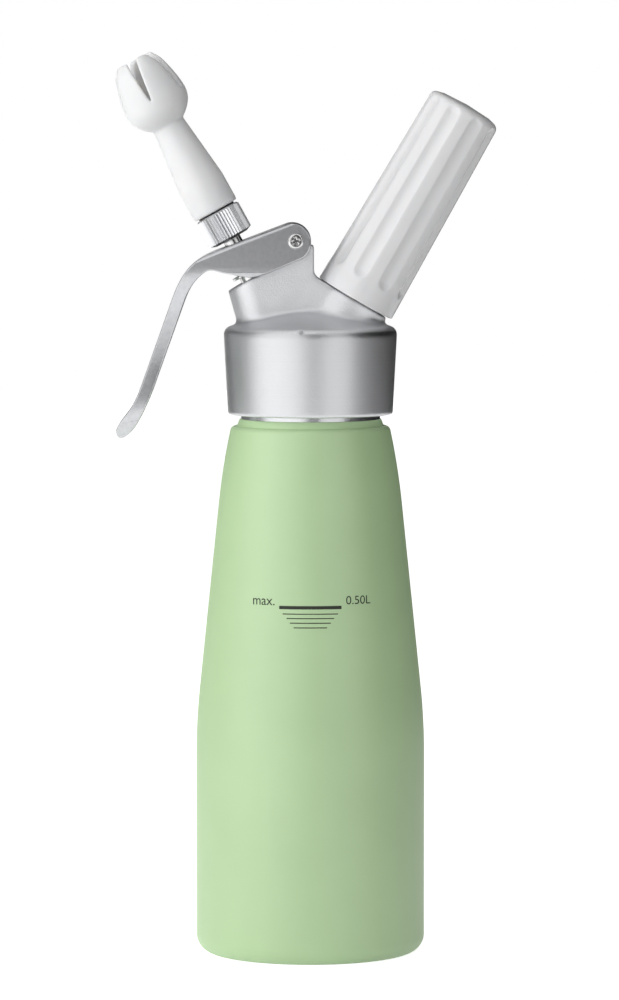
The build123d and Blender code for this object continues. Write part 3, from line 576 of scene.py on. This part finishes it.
outside = rounded([(0, 0), (bottle_r, 0, 6.2), (bottle_r, straight_h - 1)], 10)[:-1]
crown_end = (crown_r + 0.35, shoulder_h - 1.57)
outside += side_line(0, *crown_end)
outside += rounded([crown_end, (crown_r, shoulder_h, 2.0), (painted_r, shoulder_h)], 6)[1:]
outside += rounded([(painted_r, shoulder_h), (24.75, ring_low, 0.4), (ring_r, ring_low), (ring_r, ring_high),
                    (neck_r, 190.5)], 3)[1:]
outside += [(neck_r, rim_h - rim_cut), (neck_r - rim_cut, rim_h), (mouth_r + rim_cut, rim_h),
            (mouth_r, rim_h - rim_cut), (mouth_r, 186.2)]
inside = [(0, floor_t)]
inside += rounded([(0, floor_t), (inner_r, floor_t, 4.4), (inner_r, straight_h - 1)], 6)[1:-1]
inside += side_line(wall_t, 25.9, 179.0)
bottle = turned("bottle_body", outside + inside[::-1], steps=192)


def is_bare(centre, normal):
    """Whether a face is on the neck or inside the bottle, where there is no paint."""
    faces_axis = centre.z > 2.0 and normal.xy.dot(centre.xy) < 0
    is_floor = 2.9 < centre.z < 8.0 and normal.z > 0.1
    is_inside = Vector(centre.xy).length < inner_r + 0.1 and (faces_axis or is_floor)
    return centre.z > ring_low + 0.02 or is_inside


give_slot(bottle, is_bare, 1)

# %% [markdown]
# The neck's thread is a ridge that climbs three millimetres a turn. It is drawn as a small triangle with a
# flat tip and wound up with a Screw modifier, which is how such a ridge is cut. It is sunk into the neck so
# that nothing shows beneath.

# %% Neck thread
def thread(name, root, crest, low, pitch, turns, steps):
    """A ridge from radius root to radius crest that winds up round Z from height low."""
    sunk = root - 0.3
    ridge = draw(name, [(sunk, 0, low - 0.3 * pitch), (crest, 0, low - 0.06 * pitch),
                        (crest, 0, low + 0.06 * pitch), (sunk, 0, low + 0.3 * pitch)])
    bpy.ops.mesh.select_all(action="SELECT")
    bpy.ops.mesh.edge_face_add()
    bpy.ops.object.mode_set(mode="OBJECT")
    modify(ridge, "SCREW", axis="Z", steps=steps, render_steps=steps,
           angle=2 * math.pi * turns, screw_offset=pitch * turns)
    only(ridge)
    bpy.ops.object.mode_set(mode="EDIT")
    tidy_mesh(40)
    return ridge


neck_thread = thread("neck_thread", neck_r, 24.35, 192.2, pitch=3.0, turns=4, steps=256)
settle(bottle, "bottle", "bottle_paint", mint_coat, bare_aluminium, nodes=["bottle"])
settle(neck_thread, "bottle", "bottle_paint", bare_aluminium)

# %% [markdown]
# ## Head
# The head is one aluminium casting: a round skirt that screws onto the neck, a sloping roof, a flat-sided
# body for the valve and the lever, and a round boss for the gas holder. Cast metal has no sharp inner
# corners, and a bevel can't follow the place where a round boss runs into a flat wall and a cone. So the
# solids are joined, remeshed to an even grid and relaxed, more at the inner corners than elsewhere. The
# bores are cut afterwards, because machined edges are crisp.

# %% Head: the casting
valve_at, valve_lean = (-20.1, 0, 237.1), -29
port_at, port_lean = (15.7, 0, 229.6), 30
pivot_x, pivot_z = -5.0465, 249.8348
body_half = 9.9
corner_z, corner_r, roof_z, roof_r = 219.3, 30.4, 225.9, 8.0
roof_slope = (roof_z - corner_z) / (corner_r - roof_r)
skirt_low, skirt_low_r = 189.1, 28.8
lug_r, body_low, body_left, body_right = 3.2, 214.5, -37.4, 15.7
boss_r, boss_low, boss_high = 12.9, -16.3, -0.3

skirt = [(0, skirt_low), (skirt_low_r, skirt_low, 0.35), (corner_r, corner_z, 3.0), (roof_r, roof_z),
         (0, roof_z)]
head = turned("head_casting", rounded(skirt, 8), steps=160)
lug = arc((pivot_x, pivot_z), lug_r, range(180, -28, -12))
side = rounded([(body_left, body_low), (body_left, 227.5), (-13.1, 240.98), *lug,
                (1.28, 248.33, 1.2), (1.28, 237.58, 3.0), (body_right, 229.25), (body_right, body_low)])
body = cut_out("body", side, -body_half, body_half)

# %% [markdown]
# The body's left end is half round, seen from above, and leans out to the left as it rises. A slanted bar
# of that section is laid over the flat-sided body, and what both share is kept.

# %% Head: the rounded end and the boss
end_lean_deg, end_low, end_rise, end_far_x = 15.4, 213.5, 45, 40
lean_run = math.tan(math.radians(end_lean_deg))
end_x = -16.1 + 9 * lean_run
end_round = [(end_x - body_half * math.sin(math.radians(a)), -body_half * math.cos(math.radians(a)), end_low)
             for a in range(0, 181, 5)]
end_round += [(end_far_x, body_half, end_low), (end_far_x, -body_half, end_low)]
stadium = filled("stadium", end_round, (-end_rise * lean_run, 0, end_rise))
carve(body, stadium, "INTERSECT")
boss = turned("boss", [(0, boss_low), (boss_r, boss_low), (boss_r, boss_high), (0, boss_high)])
place(boss, port_at, port_lean)
carve(head, body, "UNION")
carve(head, boss, "UNION")
remesh(head, 0.5)
print("casting faces:", len(head.data.polygons))


# %% [markdown]
# The relaxing is strongest where the roof meets the body, and along the lines where the boss runs into the
# flat sides. A vertex group holds those weights: one in the corner, and fading over a few millimetres.

# %% Head: soft inner corners
def fade(distance, reach):
    """One at no distance, and nothing from reach on."""
    return max(0.0, 1.0 - distance / reach)


port_axis = Vector((math.sin(math.radians(port_lean)), 0, math.cos(math.radians(port_lean))))
port_across = Vector((port_axis.z, 0, -port_axis.x))


def near_foot(spot):
    """How near a place is to the roof's height, away from the skirt's edge, from 0 to 1."""
    around = math.hypot(spot.x, spot.y)
    roof = corner_z + (corner_r - around) * roof_slope
    return fade(abs(spot.z - roof - 0.5), 4.0) * min(1.0, max(0.0, (28.2 - around) / 1.5))


def near_boss(spot):
    """How near a place is to the lines where the boss runs into the flat sides, below its rim."""
    from_port = spot - Vector(port_at)
    if from_port.dot(port_axis) >= -1.2:
        return 0.0
    return fade(math.hypot(abs(from_port.dot(port_across)) - 8.3, abs(spot.y) - body_half), 5.0)


soften(head, 60, near_foot)
soften(head, 120, near_boss)
soften(head, 6)

# %% [markdown]
# The bores are turned tools: one up from below for the neck, one along the valve, one for the gas port and
# one across for the pivot. They are joined first, so that the fine mesh of the casting is cut only once.
# The skirt's faces then get the turned finish. A small raised dot near the skirt's upper edge is a disc
# with a rounded rim, tipped to the slope and sunk into it.

# %% Head: bores, finishes and dot
hollow = turned("hollow", [(0, 188), (24.7, 188), (24.7, 208.2), (19.5, 208.2), (19.5, 214.5), (0, 214.5)])
valve_bore = turned("valve_bore", [(0, -36), (7.0, -36), (7.0, -24), (4.3, -24), (4.3, -20), (6.0, -20),
                                   (6.0, -9.25), (7.22, -9.25), (7.22, 8), (0, 8)], steps=96)
place(valve_bore, valve_at, valve_lean)
port_bore = turned("port_bore", [(0, -22.3), (2.0, -22.3), (2.0, -10.3), (7.02, -10.3), (7.02, 5), (0, 5)],
                   steps=96)
place(port_bore, port_at, port_lean)
pivot_bore = turned("pivot_bore", [(0, -15), (1.87, -15), (1.87, 15), (0, 15)], steps=48)
place(pivot_bore, (pivot_x, 0, pivot_z), tip=90)
for tool in (valve_bore, port_bore, pivot_bore):
    carve(hollow, tool, "UNION")
carve(head, hollow)
smooth_shade(head, 58)
give_slot(head, lambda centre, normal: Vector(centre.xy).length > 28.4 and abs(normal.z) < 0.5, 1)
settle(head, "head", "head_metal", blasted_metal, turned_metal, nodes=["head"])
dot = turned("skirt_dot", rounded([(0, -1.2), (1.05, -1.2), (1.05, 0.2, 0.18), (0, 0.3)], 5), steps=48)
place(dot, (-3.5, -29.75, 218.9), tip=72)
settle(dot, "head", "head_metal", turned_metal)

# %% [markdown]
# ## Lever
# The lever is cast in one piece: a hood over the valve with two cheeks that hold the pivot, an elbow, and a
# slim grip that flares at its end. It is one outline seen from the side, cut to a second one seen from the
# front, where it narrows to a waist. What both outlines share is the lever. The pivot's hole is cut first
# of all, because a boolean is safest on plain faces.

# %% Lever: the side outline
lever_half, pivot_hole_r = 12.7, 1.82
hood_end, hood_fall = (-28.0, -3.4), 0.39
rear_middle, rear_r = (-1.4, -0.5), 6.7


def from_pivot(points):
    """Flat points that are measured from the pivot, in the frame."""
    return [(pivot_x + x, pivot_z + z) for x, z in points]


grip_run = Vector((-10.5, -29.4))
top_way = Vector((-1, -hood_fall))
rear = arc(rear_middle, rear_r, range(-55, 112, 6))
over = flow([hood_end, (-37.5, -9.6), (-43.4, -21.0)], top_way, grip_run)
flare = flow([(-53.9, -50.4), (-57.2, -57.6), (-62.7, -65.9), (-61.4, -69.0), (-56.6, -65.6), (-52.2, -57.6),
              (-49.33, -50.4)], grip_run, -grip_run)
under = flow([(-38.83, -21.0), (-31.5, -10.7), (-24.4, -11.3), (-15.5, -12.6), (-9.3, -11.0)],
             -grip_run, (1, 0.3))
lever = cut_out("lever_arm", from_pivot(rear + over + flare + under), -lever_half, lever_half)
pivot_hole = turned("pivot_hole", [(0, -15), (pivot_hole_r, -15), (pivot_hole_r, 15), (0, 15)], steps=48)
place(pivot_hole, (pivot_x, 0, pivot_z), tip=90)
carve(lever, pivot_hole)

# %% Lever: the front outline
front_top = pivot_z + 14
waist = flow([(lever_half, pivot_z - 9), (9.6, pivot_z - 25), (8.4, pivot_z - 42), (9.4, pivot_z - 58),
              (6.6, pivot_z - 66.5), (0, pivot_z - 69.4)], (0, -1), (-1, 0))
front = [(lever_half, front_top), *waist, *[(-y, z) for y, z in waist[-2::-1]], (-lever_half, front_top)]
front_cut = cut_out("front_cut", front, -80, 80)
place(front_cut, turn=90)
carve(lever, front_cut, "INTERSECT")

# %% [markdown]
# The hood's long top edges are worn much rounder than the rest. A bevel of that width overlaps itself on
# this outline, so the hood is cut to a third outline instead: its section, with round upper corners, pulled
# along its slope. It stands a trace proud of the hood's sides and top, so that only the corners are cut.
# The other edges get a narrow bevel by edge weight.

# %% Lever: rounded edges
edge_round, top_round, proud = 0.45, 1.8, 0.02
reach = lever_half + proud
hood = [(reach, -90), (reach, proud, top_round), (-reach, proud, top_round), (-reach, -90)]
hood_round = filled("hood_round", [(-60.0, y, z) for y, z in rounded(hood, 8)], (100.0, 0, 0))
hood_place = (pivot_x + hood_end[0], 0, pivot_z + hood_end[1])
place(hood_round, hood_place, lean=-math.degrees(math.atan(hood_fall)))
carve(lever, hood_round, "INTERSECT")


def round_edges(piece, width, sharper_than, spare, steps=3):
    """Bevel a piece's sharp edges, apart from those that spare names; short edges are merged first."""
    form = bmesh.new()
    form.from_mesh(piece.data)
    bmesh.ops.remove_doubles(form, verts=form.verts, dist=0.2)
    layer = form.edges.layers.float.new("bevel_weight_edge")
    for edge in form.edges:
        middle = (edge.verts[0].co + edge.verts[1].co) / 2
        joins_two = len(edge.link_faces) == 2
        if joins_two and edge.calc_face_angle() > math.radians(sharper_than) and not spare(middle):
            edge[layer] = 1.0
    form.to_mesh(piece.data)
    form.free()
    modify(piece, "BEVEL", limit_method="WEIGHT", width=width, segments=steps, use_clamp_overlap=False)


# The pivot hole stays sharp, because the screw's head lies on its edge.
round_edges(lever, edge_round, 40, lambda spot: math.hypot(spot.x - pivot_x, spot.z - pivot_z) < 2.5)

# %% [markdown]
# The hood is hollow below and behind, so that it can swing over the head's lug. A round bar inside it
# presses on the washer, and a slot in the bar and in the top lets the valve stem through.

# %% Lever: hollow, bar and slots
hollow_r, cheek_t = 4.9, 2.4
washer_low, washer_t, bar_gap, bar_r, bar_half, slot_r = 1.75, 1.0, 0.1, 3.5, 10.4, 4.6
inner = arc(rear_middle, hollow_r, range(24, 112, 8))
side = from_pivot(inner + [(-28.0, -5.33), (-33.5, -8.74), (-33.5, -30), (20, -30), (20, 1.5)])
hollow = cut_out("lever_hollow", side, -(lever_half - cheek_t), lever_half - cheek_t)
carve(lever, hollow)
bar = turned("bar", [(0, -bar_half), (bar_r, -bar_half), (bar_r, bar_half), (0, bar_half)], steps=64)
bar_rise = washer_low + washer_t + bar_gap + bar_r
lean_x, lean_z = math.sin(math.radians(valve_lean)), math.cos(math.radians(valve_lean))
place(bar, (valve_at[0] + bar_rise * lean_x, 0, valve_at[2] + bar_rise * lean_z), tip=90)
carve(lever, bar, "UNION")
slot = turned("slot", [(0, 0), (slot_r, 0), (slot_r, 26), (0, 26)], steps=64)
place(slot, valve_at, valve_lean)
carve(lever, slot)
smooth_shade(lever, 40)
modify(lever, "WEIGHTED_NORMAL", keep_sharp=True)
settle(lever, "lever", "lever_metal", tumbled_metal, nodes=["lever"])

# %% [markdown]
# ## Pivot screw and barrel
# The lever turns on a hollow rivet: a barrel from behind and a screw from the front, each with a domed
# head. The screw's cross recess is cut with two tapered blades, which leaves the sloping walls of the real
# one.

# %% Pivot
rivet_r, dome_round, blade_x, blade_y, blade_top = 2.85, 0.9, 1.45, 0.375, 1.6
screw = turned("pivot_screw_head", rounded([(0, -17), (0.9, -17), (1.2, -16.6), (1.2, 0), (rivet_r, 0, 0.15),
                                            (rivet_r, 1.5, dome_round), (0, 1.5)]), steps=64)
for turn in (20, 110):
    blade = filled("blade", [(-blade_x, -blade_y, blade_top), (blade_x, -blade_y, blade_top),
                             (blade_x, blade_y, blade_top), (-blade_x, blade_y, blade_top)], (0, 0, -1.2))
    for vertex in blade.data.vertices:
        if vertex.co.z < 1.0:
            vertex.co.x *= 0.72
            vertex.co.y *= 0.55
    place(blade, turn=turn)
    carve(screw, blade)
modify(screw, "BEVEL", width=0.1, segments=2, limit_method="ANGLE", angle_limit=math.radians(50))
place(screw, (pivot_x, -lever_half, pivot_z), tip=90)
barrel = turned("pivot_barrel_head", rounded([(0, 14.2), (rivet_r, 14.2, dome_round), (rivet_r, 12.7, 0.15),
                                              (1.8, 12.7), (1.8, -12.4, 0.2), (1.25, -12.4), (1.25, 5.3),
                                              (0, 5.3)]), steps=64)
place(barrel, (pivot_x, 0, pivot_z), tip=-90)
settle(screw, "lever", "screw_steel", stainless_steel, nodes=["pivot_screw"])
settle(barrel, "lever", "screw_steel", stainless_steel, nodes=["pivot_barrel"])

# %% [markdown]
# ## Valve stem, washer and knurled nut
# The stem is a turned steel rod that stands out of the head. The lever presses on the washer, and the nut
# holds the nozzle. The nut's knurl is forty-six straight teeth, made as one toothed outline that is pulled
# up and then trimmed by a turned shape, which is how a knurled bar is chamfered on a lathe.

# %% Stem and washer
def flat_ring(name, inner, outer, low, high, soft_edge):
    """A flat ring whose outer edges are rounded."""
    section = [(inner, low), (outer, low, soft_edge), (outer, high, soft_edge), (inner, high), (inner, low)]
    return turned(name, rounded(section, 3), steps=96)


stem_r, flange_r, guide_r, stem_bore_r = 3.2, 5.4, 4.4, 1.7
stem = turned("stem_rod", rounded([(0, -28.35), (2.0, -28.35, 0.2), (2.0, -10.85), (3.0, -10.85),
                                   (flange_r, -10.85, 0.2), (flange_r, -9.35, 0.2), (guide_r, -9.35),
                                   (guide_r, washer_low, 0.1), (stem_r, washer_low), (stem_r, 22.7, 0.4),
                                   (stem_bore_r, 22.7), (stem_bore_r, -23.4), (0, -23.4)], 3), steps=64)
place(stem, valve_at, valve_lean)
washer = flat_ring("lever_washer", 3.22, 6.7, washer_low, washer_low + washer_t, soft_edge=0.25)
place(washer, valve_at, valve_lean)
settle(stem, "valve", "stem_steel", stainless_steel, nodes=["valve_stem"])
settle(washer, "valve", "stem_steel", stainless_steel, nodes=["press_washer"])

# %% Knurled nut
teeth, tooth_r, tooth_depth, knurl_low, knurl_rise = 46, 8.25, 0.45, 15.0, 10.9
nut_low, nut_top, nut_chamfer, stud_r = 15.3, 25.9, 0.7, 5.4
knurl = []
for step in range(2 * teeth):
    radius = tooth_r - tooth_depth * (step % 2)
    angle = math.pi * step / teeth
    knurl.append((radius * math.cos(angle), radius * math.sin(angle), knurl_low))
nut = filled("knurled_nut", knurl, (0, 0, knurl_rise))
blank = turned("blank", [(0, nut_low), (6.1, nut_low), (tooth_r, 16.2), (tooth_r, nut_top - nut_chamfer),
                         (tooth_r - nut_chamfer, nut_top), (0, nut_top)], steps=256)
carve(nut, blank, "INTERSECT")
stud = turned("stud", [(0, 25.5), (stud_r, 25.5), (stud_r, 32.5), (5.0, 32.9), (0, 32.9)], steps=96)
carve(nut, stud, "UNION")
bore = turned("bore", [(0, 14), (3.25, 14), (3.25, 23.65), (2.2, 23.65), (2.2, 34), (0, 34)], steps=64)
carve(nut, bore)
smooth_shade(nut, 18)
place(nut, valve_at, valve_lean)
stud_thread = thread("nut_thread", stud_r, 5.8, 27.7, pitch=1.25, turns=3.5, steps=64)
place(stud_thread, valve_at, valve_lean)
ring = flat_ring("dark_ring", 6.1, 6.85, nut_top, 26.5, soft_edge=0.15)
place(ring, valve_at, valve_lean)
settle(nut, "adapter", "nut_metal", nickel_plate, nodes=["nozzle_adapter"])
settle(stud_thread, "adapter", "nut_metal", nickel_plate)
settle(ring, "tip_ring", "ring_dark", black_plastic, nodes=["adapter_ring"])

# %% [markdown]
# ## Nozzle
# The nozzle is a thin-walled tulip. Five slots run in from its mouth and narrow to a point, so that the
# cream comes out as a star. It is turned as one closed wall, the slots are cut with wedges, and the mesh is
# relaxed a little, because moulded edges are never sharp.

# %% Nozzle
nozzle_rise = 26.5
nozzle_at = (valve_at[0] + nozzle_rise * lean_x, 0, valve_at[2] + nozzle_rise * lean_z)
foot_bore_r, foot_bore_h, foot_outer_r, neck_h, mouth_h, lip_r = 6.1, 6.7, 8.35, 34.2, 59.7, 4.5
slots, first_slot_deg, slot_low, slot_high, slot_half = 5, -96, 40.7, 60.7, 2.0
outer = rounded([(foot_bore_r, 0), (foot_outer_r, 0, 0.5), (foot_outer_r, 10.5, 8.0), (5.75, neck_h)], 8)[:-1]
outer += flow([(5.75, neck_h), (10.4, 38.8), (11.55, 44.0), (9.3, 55.3), (6.7, mouth_h)],
              (1.6, 1), (-0.62, 1))
wall = flow([(3.55, neck_h), (9.35, 44.0), (lip_r, 58.7)], (1, 1.2), (-0.5, 1))
foot_bore = [(4.55, foot_bore_h), (foot_bore_r, foot_bore_h), (foot_bore_r, 0)]
nozzle = turned("nozzle_tulip", outer + [(lip_r, mouth_h)] + wall[::-1] + foot_bore, steps=144)
for slot_number in range(slots):
    wedge = cut_out("wedge", [(0, slot_low), (slot_half, slot_high), (-slot_half, slot_high)], 0, 23)
    place(wedge, turn=first_slot_deg + 360 / slots * slot_number - 90)
    carve(nozzle, wedge)
remesh(nozzle, 0.33)
soften(nozzle, 14)
place(nozzle, nozzle_at, valve_lean)
settle(nozzle, "tip", "nozzle_plastic", waxy_white, nodes=["nozzle"])

# %% [markdown]
# ## Charger holder
# The holder is a thick plastic cup with nine shallow flutes, so that a wet hand can turn it. A mould maker
# cuts each flute with a long round-ended cutter. Booleans and a relaxed voxel mesh leave dotted edges on such
# flutes, so the wall is turned finely and its outer side is pushed in to the cutter's surface by a formula,
# with a small round where the two meet.

# %% Holder
flutes, flute_turn_deg, flute_r, flute_low, flute_high = 9, 14.3, 5.0, 10.5, 72.7
flute_low_r, flute_high_r, lip_round = 18.467, 17.43, 0.12
foot_r, crown_corner_r, crown_corner_z = 14.6, 13.3, 76.4
seat_r, seat_z, bore_r, bore_top = 12.22, 9.02, 9.4, 58.4
# The rings of the wall lie close together where the flutes end, and further apart between.
levels = [5.4 + 0.5 * step for step in range(14)] + [14.0 + 4.0 * step for step in range(14)]
levels += [69.5 + 0.5 * step for step in range(9)]
outside = rounded([(seat_r, 0), (foot_r, 0, 0.6), (crown_corner_r, crown_corner_z, 2.6),
                   (9.0, 77.5), (0, 78.0)], 8)
turn_up = next(index for index, point in enumerate(outside) if point[1] > 60)
outside[turn_up:turn_up] = [(foot_r - (foot_r - crown_corner_r) * z / crown_corner_z, z) for z in levels]
inside = arc((0, bore_top), bore_r, range(90, 0, -10))
inside += [(bore_r, bore_top), (bore_r, seat_z), (seat_r, seat_z), (seat_r, 0)]
holder = turned("holder_cup", outside + inside, steps=360)


# %% Holder: flutes
def flute_floor(around, height):
    """Radius of the cutter's surface, seen from the holder's axis, at this angle from the flute's middle."""
    along = (height - flute_low) / (flute_high - flute_low)
    centre = flute_low_r + (flute_high_r - flute_low_r) * along
    past = max(flute_low - height, height - flute_high, 0.0)
    across = centre * math.sin(around)
    room = flute_r**2 - past**2 - across**2
    return centre * math.cos(around) - math.sqrt(room) if room > 0 else centre


flute_step = 360 / flutes
for vertex in holder.data.vertices:
    now = math.hypot(vertex.co.x, vertex.co.y)
    if now > 12.5 and vertex.co.z > 1:
        turned_by = math.degrees(math.atan2(vertex.co.y, vertex.co.x)) + 90 + flute_turn_deg
        around = math.radians((turned_by + flute_step / 2) % flute_step - flute_step / 2)
        floor_r = flute_floor(around, vertex.co.z)
        new = (now + floor_r - math.hypot(now - floor_r, 2 * lip_round)) / 2
        vertex.co.x *= new / now
        vertex.co.y *= new / now
smooth_shade(holder, 40)
place(holder, port_at, port_lean)
settle(holder, "holder", "holder_plastic", gloss_white, nodes=["charger_holder"])

# %% [markdown]
# ## Level mark
# A bar at the height of half a litre, four fine lines below it and a few plain letters are printed on the
# bottle. Each is made flat, and is then wrapped round the bottle's taper, a few hundredths of a millimetre
# outside it.

# %% Level mark: bar and lines
hip_end_r, hip_end_h, ink_rise, ink_t = 38.815, 93.0, 0.03, 0.02


def taper_r(height):
    """Radius of the bottle's taper at this height."""
    return hip_end_r - (height - hip_end_h) * math.tan(math.radians(taper_deg))


def wrap(piece, height):
    """Bend a flat XZ piece round the bottle at its front."""
    for vertex in piece.data.vertices:
        level = height + vertex.co.z
        around = taper_r(level) + ink_rise + vertex.co.y
        angle = vertex.co.x / around
        vertex.co = (around * math.sin(angle), -around * math.cos(angle), level)
    only(piece)
    bpy.ops.object.mode_set(mode="EDIT")
    tidy_mesh(60)


def stripe(name, half_width, thickness, height):
    """Print a level stripe; half_width is half of it as the front view shows it."""
    around = taper_r(height)
    length = 2 * around * math.asin(half_width / around)
    bpy.ops.mesh.primitive_grid_add(x_subdivisions=32, y_subdivisions=1, size=1)
    piece = bpy.context.object
    piece.name = name
    piece.scale = (length, thickness, 1)
    piece.rotation_euler = (math.radians(90), 0, 0)
    bpy.ops.object.transform_apply(location=False, rotation=True, scale=True)
    modify(piece, "SOLIDIFY", thickness=ink_t, offset=1)
    wrap(piece, height)
    settle(piece, "bottle", "bottle_paint", printing_ink)


mark_z = 124.2
stripe("level_bar", 10.75, 1.15, mark_z)
for number, (drop, half) in enumerate(((2.2, 9.56), (3.72, 8.2), (5.3, 7.04), (6.9, 5.77))):
    stripe(f"level_line_{number}", half, 0.34, mark_z - drop)


# %% [markdown]
# The letters start as a text, which is made a mesh and scaled to its width and height. Long flat faces
# can't follow a curve, so the mesh is cut every half millimetre or so before it is wrapped.

# %% Level mark: letters
def letters(name, words, left, width, height, base):
    """Print words from x left on, width wide and height tall, with their foot at base."""
    bpy.ops.object.text_add()
    piece = bpy.context.object
    piece.name = name
    piece.data.body = words
    piece.data.size = 4.0
    piece.data.extrude = ink_t / 2
    bpy.ops.object.convert(target="MESH")
    piece = bpy.context.object
    low = min(vertex.co.x for vertex in piece.data.vertices)
    high = max(vertex.co.x for vertex in piece.data.vertices)
    top = max(vertex.co.y for vertex in piece.data.vertices)
    for vertex in piece.data.vertices:
        flat_x, flat_y, flat_z = vertex.co
        vertex.co = (left + (flat_x - low) * width / (high - low), -flat_z, flat_y * height / top)
    only(piece)
    bpy.ops.object.mode_set(mode="EDIT")
    strips = 2 * int(width)
    for step in range(1, strips):
        bpy.ops.mesh.select_all(action="SELECT")
        bpy.ops.mesh.bisect(plane_co=(left + step * width / strips, 0, 0), plane_no=(1, 0, 0))
    bpy.ops.object.mode_set(mode="OBJECT")
    wrap(piece, base)
    settle(piece, "bottle", "bottle_paint", printing_ink)


letters("level_word", "max.", -21.0, 8.4, 2.2, 124.9)
letters("level_size", "0.50L", 12.6, 9.5, 2.85, 125.2)

# %% [markdown]
# ## Inner parts
# The parts inside the head keep the frame's own shapes, which are right, and get their real finishes.

# %% Finishes of the inner parts
inner_finish = {
    "head_gasket": pale_rubber,
    "valve_guide": guide_plastic,
    "guide_oring": dark_rubber,
    "valve_seal": dark_rubber,
    "stem_gasket": dark_rubber,
    "inlet_valve": dark_rubber,
    "charger_gasket": dark_rubber,
    "seal_retainer": stainless_steel,
    "valve_spring": drawn_steel,
    "piercing_pin": drawn_steel,
    "charger_port": bare_aluminium,
    "holder_insert": bare_aluminium,
    "gas_charger": drawn_steel,
}
for node, finish in inner_finish.items():
    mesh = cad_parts[node].data
    mesh.materials.clear()
    mesh.materials.append(finish)

# %% [markdown]
# ## Floor and world
# The floor and the surroundings are plain white to the camera and in reflections. For the light that falls
# on the object, the world is a soft grey and the floor gives off no light of its own. Light Path tells the
# rays apart.

# %% Floor and world
def camera_white(material, low, high):
    """Light Path nodes that give high to camera, glossy and transmission rays and low to the others."""
    path = add(material, "ShaderNodeLightPath")
    seen = add(material, "ShaderNodeMath", [(path, "Is Camera Ray", 0), (path, "Is Glossy Ray", 1)],
               operation="MAXIMUM")
    seen = add(material, "ShaderNodeMath", [(seen, "Value", 0), (path, "Is Transmission Ray", 1)],
               operation="MAXIMUM")
    level = add(material, "ShaderNodeMapRange", [(seen, "Value", "Value")])
    level.inputs["To Min"].default_value = low
    level.inputs["To Max"].default_value = high
    return level


bpy.ops.mesh.primitive_plane_add(size=8)
floor = bpy.context.object
floor.name = "floor"
white_floor = finish_of("white_paper", Base_Color=paint("F2F2F2"), Roughness=0.9,
                        Emission_Color=paint("FFFFFF"))
shader_of(white_floor).inputs["Specular IOR Level"].default_value = 0.0
link(white_floor, camera_white(white_floor, 0.0, 0.85), "Result", "Emission Strength")
floor.data.materials.append(white_floor)

world = bpy.data.worlds.new("studio")
bpy.context.scene.world = world
world.use_nodes = True
background = world.node_tree.nodes["Background"]
background.inputs["Color"].default_value = (1, 1, 1, 1)
level = camera_white(world, 0.36, 1.0)
world.node_tree.links.new(level.outputs["Result"], background.inputs["Strength"])

# %% [markdown]
# ## Lamps and cards
# Matt parts are lit by large soft lamps that the metal doesn't mirror: two at the left, which give most of
# the light, one at the front right and one behind. The metal gets its bands from one weak lamp at the front
# left that it does mirror, and from matt cards: dark ones at the right and behind it, which give the skirt
# its dark side, a dark grey strip in front, and paler ones at the left and high up behind. The cards throw
# no shadow, so that the floor stays white.

# %% Lamps and cards
middle = Vector((0, 0, 0.17))


def stand(piece, azimuth, elevation, distance):
    """Stand a lamp or a card round the object, facing it; azimuth 0 is the camera's side, and +90 is +X."""
    a, e = math.radians(azimuth), math.radians(elevation)
    way = Vector((math.sin(a) * math.cos(e), -math.cos(a) * math.cos(e), math.sin(e)))
    piece.location = middle + distance * way
    piece.rotation_euler = (middle - piece.location).to_track_quat("-Z", "Y").to_euler()
    piece.visible_camera = False


def lamp(name, azimuth, elevation, distance, size, radiance, mirrored=True):
    """A square lamp; its power comes from how bright its face looks, where 1 is the white of the floor."""
    light = bpy.data.lights.new(name, "AREA")
    light.size = size
    light.energy = radiance * math.pi * size**2
    piece = bpy.data.objects.new(name, light)
    bpy.context.scene.collection.objects.link(piece)
    stand(piece, azimuth, elevation, distance)
    piece.visible_glossy = mirrored


def card(name, azimuth, elevation, distance, width, height, grey):
    """A matt card that the camera doesn't see, for the metal to reflect."""
    bpy.ops.mesh.primitive_plane_add(size=1)
    piece = bpy.context.object
    piece.name = name
    piece.scale = (width, height, 1)
    stand(piece, azimuth, elevation, distance)
    cloth = finish_of(name + "_cloth", Base_Color=paint(grey), Roughness=1.0)
    shader_of(cloth).inputs["Specular IOR Level"].default_value = 0.0
    piece.data.materials.append(cloth)
    piece.visible_shadow = False


lamp("key", -44, 24, 1.0, 1.3, 0.4)
lamp("key_fill", -44, 24, 1.0, 1.3, 0.72, mirrored=False)
lamp("left_fill", -72, 8, 1.1, 1.2, 2.5, mirrored=False)
lamp("front_fill", 30, 12, 1.1, 1.0, 0.95, mirrored=False)
lamp("back_fill", 180, 35, 1.1, 1.0, 0.9, mirrored=False)
card("dark_card", 108, 10, 0.9, 2.2, 1.6, "1C1C1C")
card("edge_card", 155, 8, 0.9, 1.0, 2.0, "2A2A2A")
card("grey_card", -122, 12, 0.9, 1.5, 1.5, "A8A8A8")
card("front_card", 5, 20, 0.9, 0.36, 0.9, "484848")
card("back_card", 180, 52, 0.9, 1.3, 0.9, "8C8C8C")
